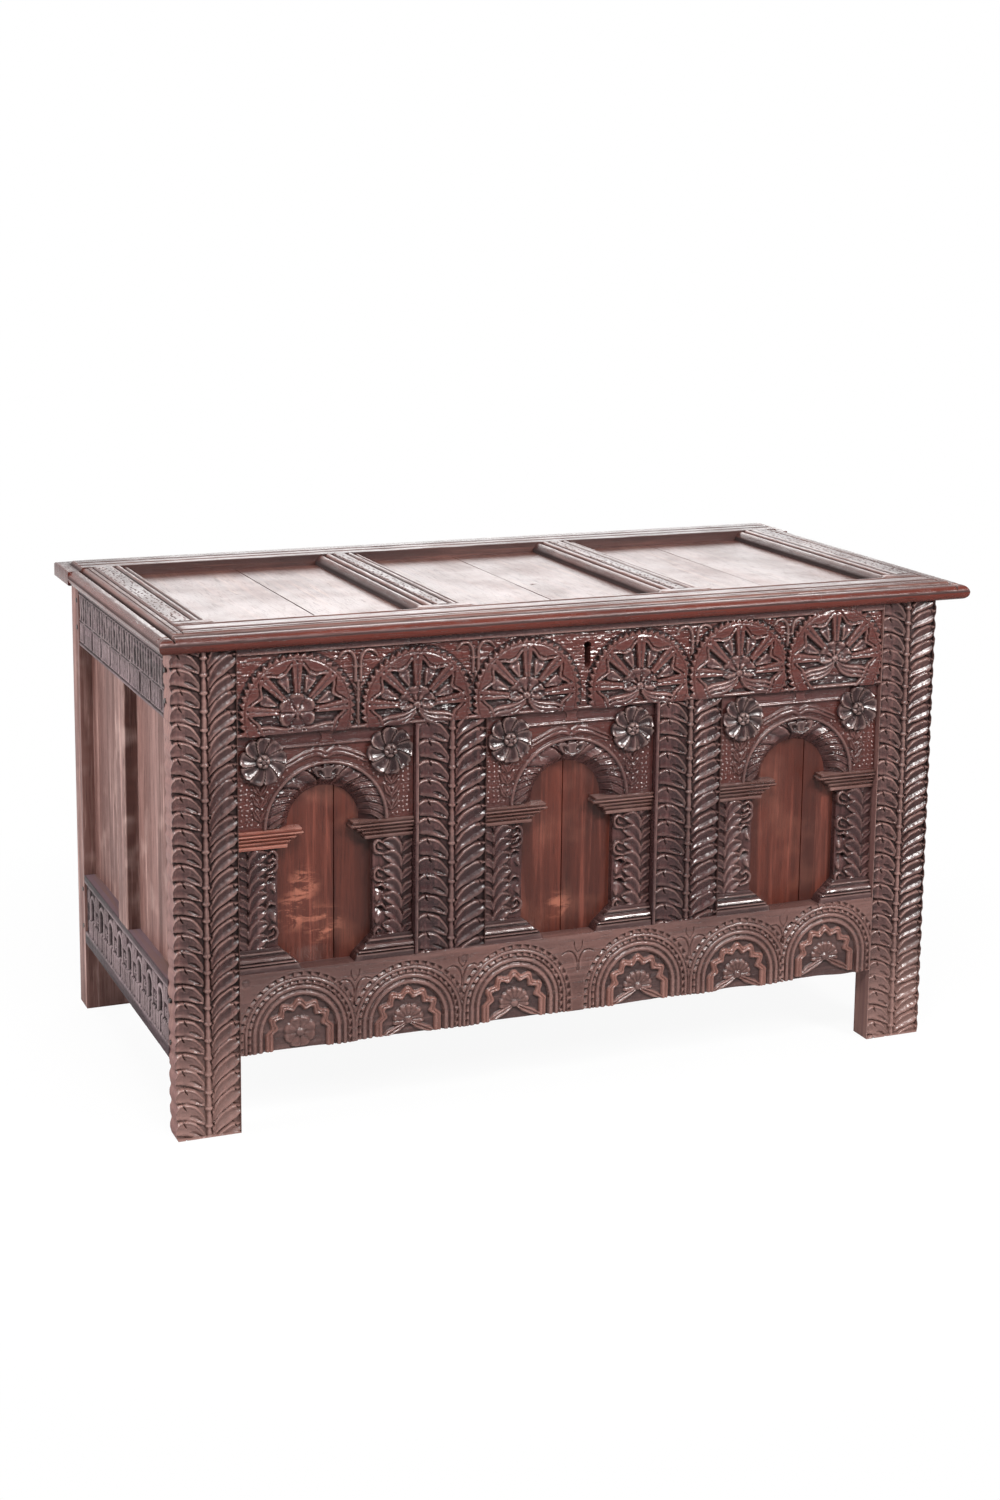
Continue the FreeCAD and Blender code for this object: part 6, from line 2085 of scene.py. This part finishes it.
@dataclass(frozen=True)
class Studio:
    """A white sweep, soft lamps and the camera."""

    eye: Triple = (-1.5063, -3.5915, 1.4561)
    yaw: float = 21.912
    pitch: float = 10.513
    roll: float = 0.479
    focal: float = 2342.0
    centre: Point = (469.407, 596.644)
    frame_size: Point = (1000.0, 1500.0)
    sensor: float = 36.0

    def _camera(self) -> None:
        """Sets the camera up from its solved place, angles and lens."""
        yaw, pitch, roll = (math.radians(v) for v in (self.yaw, self.pitch, self.roll))
        ahead = Vector((math.sin(yaw) * math.cos(pitch), math.cos(yaw) * math.cos(pitch), -math.sin(pitch)))
        right = Vector((math.cos(yaw), -math.sin(yaw), 0))
        up = right.cross(ahead)
        across = right * math.cos(roll) + up * math.sin(roll)
        over = up * math.cos(roll) - right * math.sin(roll)
        lens = bpy.data.cameras.new("camera")
        longest = max(self.frame_size)
        lens.sensor_width = self.sensor
        lens.lens = self.focal * self.sensor / longest
        lens.shift_x = (self.frame_size[0] / 2 - self.centre[0]) / longest
        lens.shift_y = (self.centre[1] - self.frame_size[1] / 2) / longest
        lens.clip_start, lens.clip_end = 0.05, 60
        camera = added("camera", lens)
        turn = Matrix((across, over, -ahead)).transposed()
        camera.matrix_world = Matrix.Translation(Vector(self.eye)) @ turn.to_4x4()
        bpy.context.scene.camera = camera

    @staticmethod
    def _lamp(name: str, place: Triple, aim: Triple, power: float,
              size: Point, tone: Triple = (1.0, 1.0, 1.0)) -> None:
        """A soft rectangular lamp.

        Args:
            name: Its name.
            place: Where it stands.
            aim: Where it points.
            power: Its power in watts.
            size: Its width and height.
            tone: Its colour.
        """
        light = bpy.data.lights.new(name, "AREA")
        light.energy, light.color = power, tone
        light.shape, light.size, light.size_y = "RECTANGLE", *size
        lamp = added(name, light)
        lamp.location = place
        lamp.rotation_mode = "QUATERNION"
        lamp.rotation_quaternion = (Vector(aim) - Vector(place)).to_track_quat("-Z", "Y")

    @staticmethod
    def _world() -> None:
        """White to the camera and in reflections, plain daylight on the object."""
        world = bpy.data.worlds.new("studio")
        bpy.context.scene.world = world
        graph = Graph(world)
        seen = graph.read("LightPath", "Is Camera Ray")
        glossy = graph.read("LightPath", "Is Glossy Ray")
        through = graph.read("LightPath", "Is Transmission Ray")
        shown = graph.node("Math", {"operation": "MAXIMUM"}, {0: seen, 1: through})
        toward = graph.read("TexCoord", "Generated")
        depth = graph.node("SeparateXYZ", None, {0: toward}, "Y")
        mirrored = 0.1 + depth.over(-0.15, 0.4) * 0.8
        around = graph.node("Mix", {"data_type": "FLOAT"}, {0: glossy, 2: 0.32, 3: mirrored})
        level = graph.node("Math", {"operation": "MAXIMUM"}, {0: shown, 1: around})
        sky = graph.node("Background", None, {"Color": (1, 1, 1, 1), "Strength": level})
        graph.node("OutputWorld", None, {"Surface": sky})

    @staticmethod
    def _floor() -> bpy.types.Object:
        """A white floor that takes the soft shadow."""
        size, lines = 14.0, 9
        mesh = bpy.data.meshes.new("studio_floor")
        steps = np.linspace(-size, size, lines)
        points = [(float(x), float(y), 0.0) for y in steps for x in steps]
        corners = [r * lines + c for r in range(lines - 1) for c in range(lines - 1)]
        faces = [(n, n + 1, n + lines + 1, n + lines) for n in corners]
        mesh.from_pydata(points, [], faces)
        floor = added("studio_floor", mesh)
        white = bpy.data.materials.new("studio_white")
        graph = Graph(white)
        paper = graph.node("BsdfPrincipled", None,
                           {"Base Color": (0.7, 0.7, 0.7, 1), "Roughness": 0.9, "Specular IOR Level": 0.1})
        glow = graph.node("Emission", None, {"Color": (1, 1, 1, 1), "Strength": 1.0})
        seen = graph.read("LightPath", "Is Camera Ray")
        place = graph.read("TexCoord", "Object")
        away = graph.node("VectorMath", {"operation": "LENGTH"}, {0: place}, "Value")
        glossy = graph.read("LightPath", "Is Glossy Ray")
        behind = graph.node("SeparateXYZ", None, {0: place}, "Y").over(0.1, 0.6)
        white_share = seen * (0.93 + away.over(0.7, 1.5) * 0.07) + glossy * behind * 0.85
        shade = graph.node("Emission", None, {"Color": (0.18, 0.18, 0.18, 1), "Strength": 1.0})
        lit = graph.node("MixShader", None, {0: white_share, 1: paper, 2: glow})
        mirrored = glossy * (1.0 - behind) * 0.88
        both = graph.node("MixShader", None, {0: mirrored, 1: lit, 2: shade})
        graph.node("OutputMaterial", None, {"Surface": both})
        mesh.materials.append(white)
        return floor

    def build(self) -> None:
        """Builds the studio."""
        self._camera()
        self._world()
        self._floor()
        target = (0.0, -0.1, 0.4)
        self._lamp("key", (1.7, -2.9, 2.4), target, 125, (0.8, 0.8), (1.0, 0.985, 0.97))
        self._lamp("overhead", (-0.7, -2.3, 3.0), target, 110, (1.6, 0.7), (1.0, 0.99, 0.985))
        self._lamp("left_fill", (-3.4, 0.1, 1.7), target, 110, (1.6, 1.6), (1.0, 0.98, 0.98))
        self._lamp("rear_fill", (1.4, 3.4, 2.2), target, 50, (2.6, 1.4))
        view = bpy.context.scene.view_settings
        view.view_transform = "Standard"


def main() -> None:
    """Builds the chest's dressing in order."""
    logging.basicConfig(level=logging.INFO, format="%(name)s: %(message)s")
    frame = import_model()
    PlainParts(frame["nodes"]).build()
    for part in (FrontPosts(), TopRail(), BottomRail()):
        part.build()
    for bay in (Bay("left", -569.0, -288.0, 76.25, 101), Bay("centre", -171.0, 119.5, 78.625, 102),
                Bay("right", 236.5, 529.0, 79.125, 103)):
        bay.build()
    for end in (EndRails(Facing.LEFT, 670.0), EndRails(Facing.RIGHT, 630.0)):
        end.build()
    Lid().build()
    Studio().build()


if __name__ == "__main__":
    main()
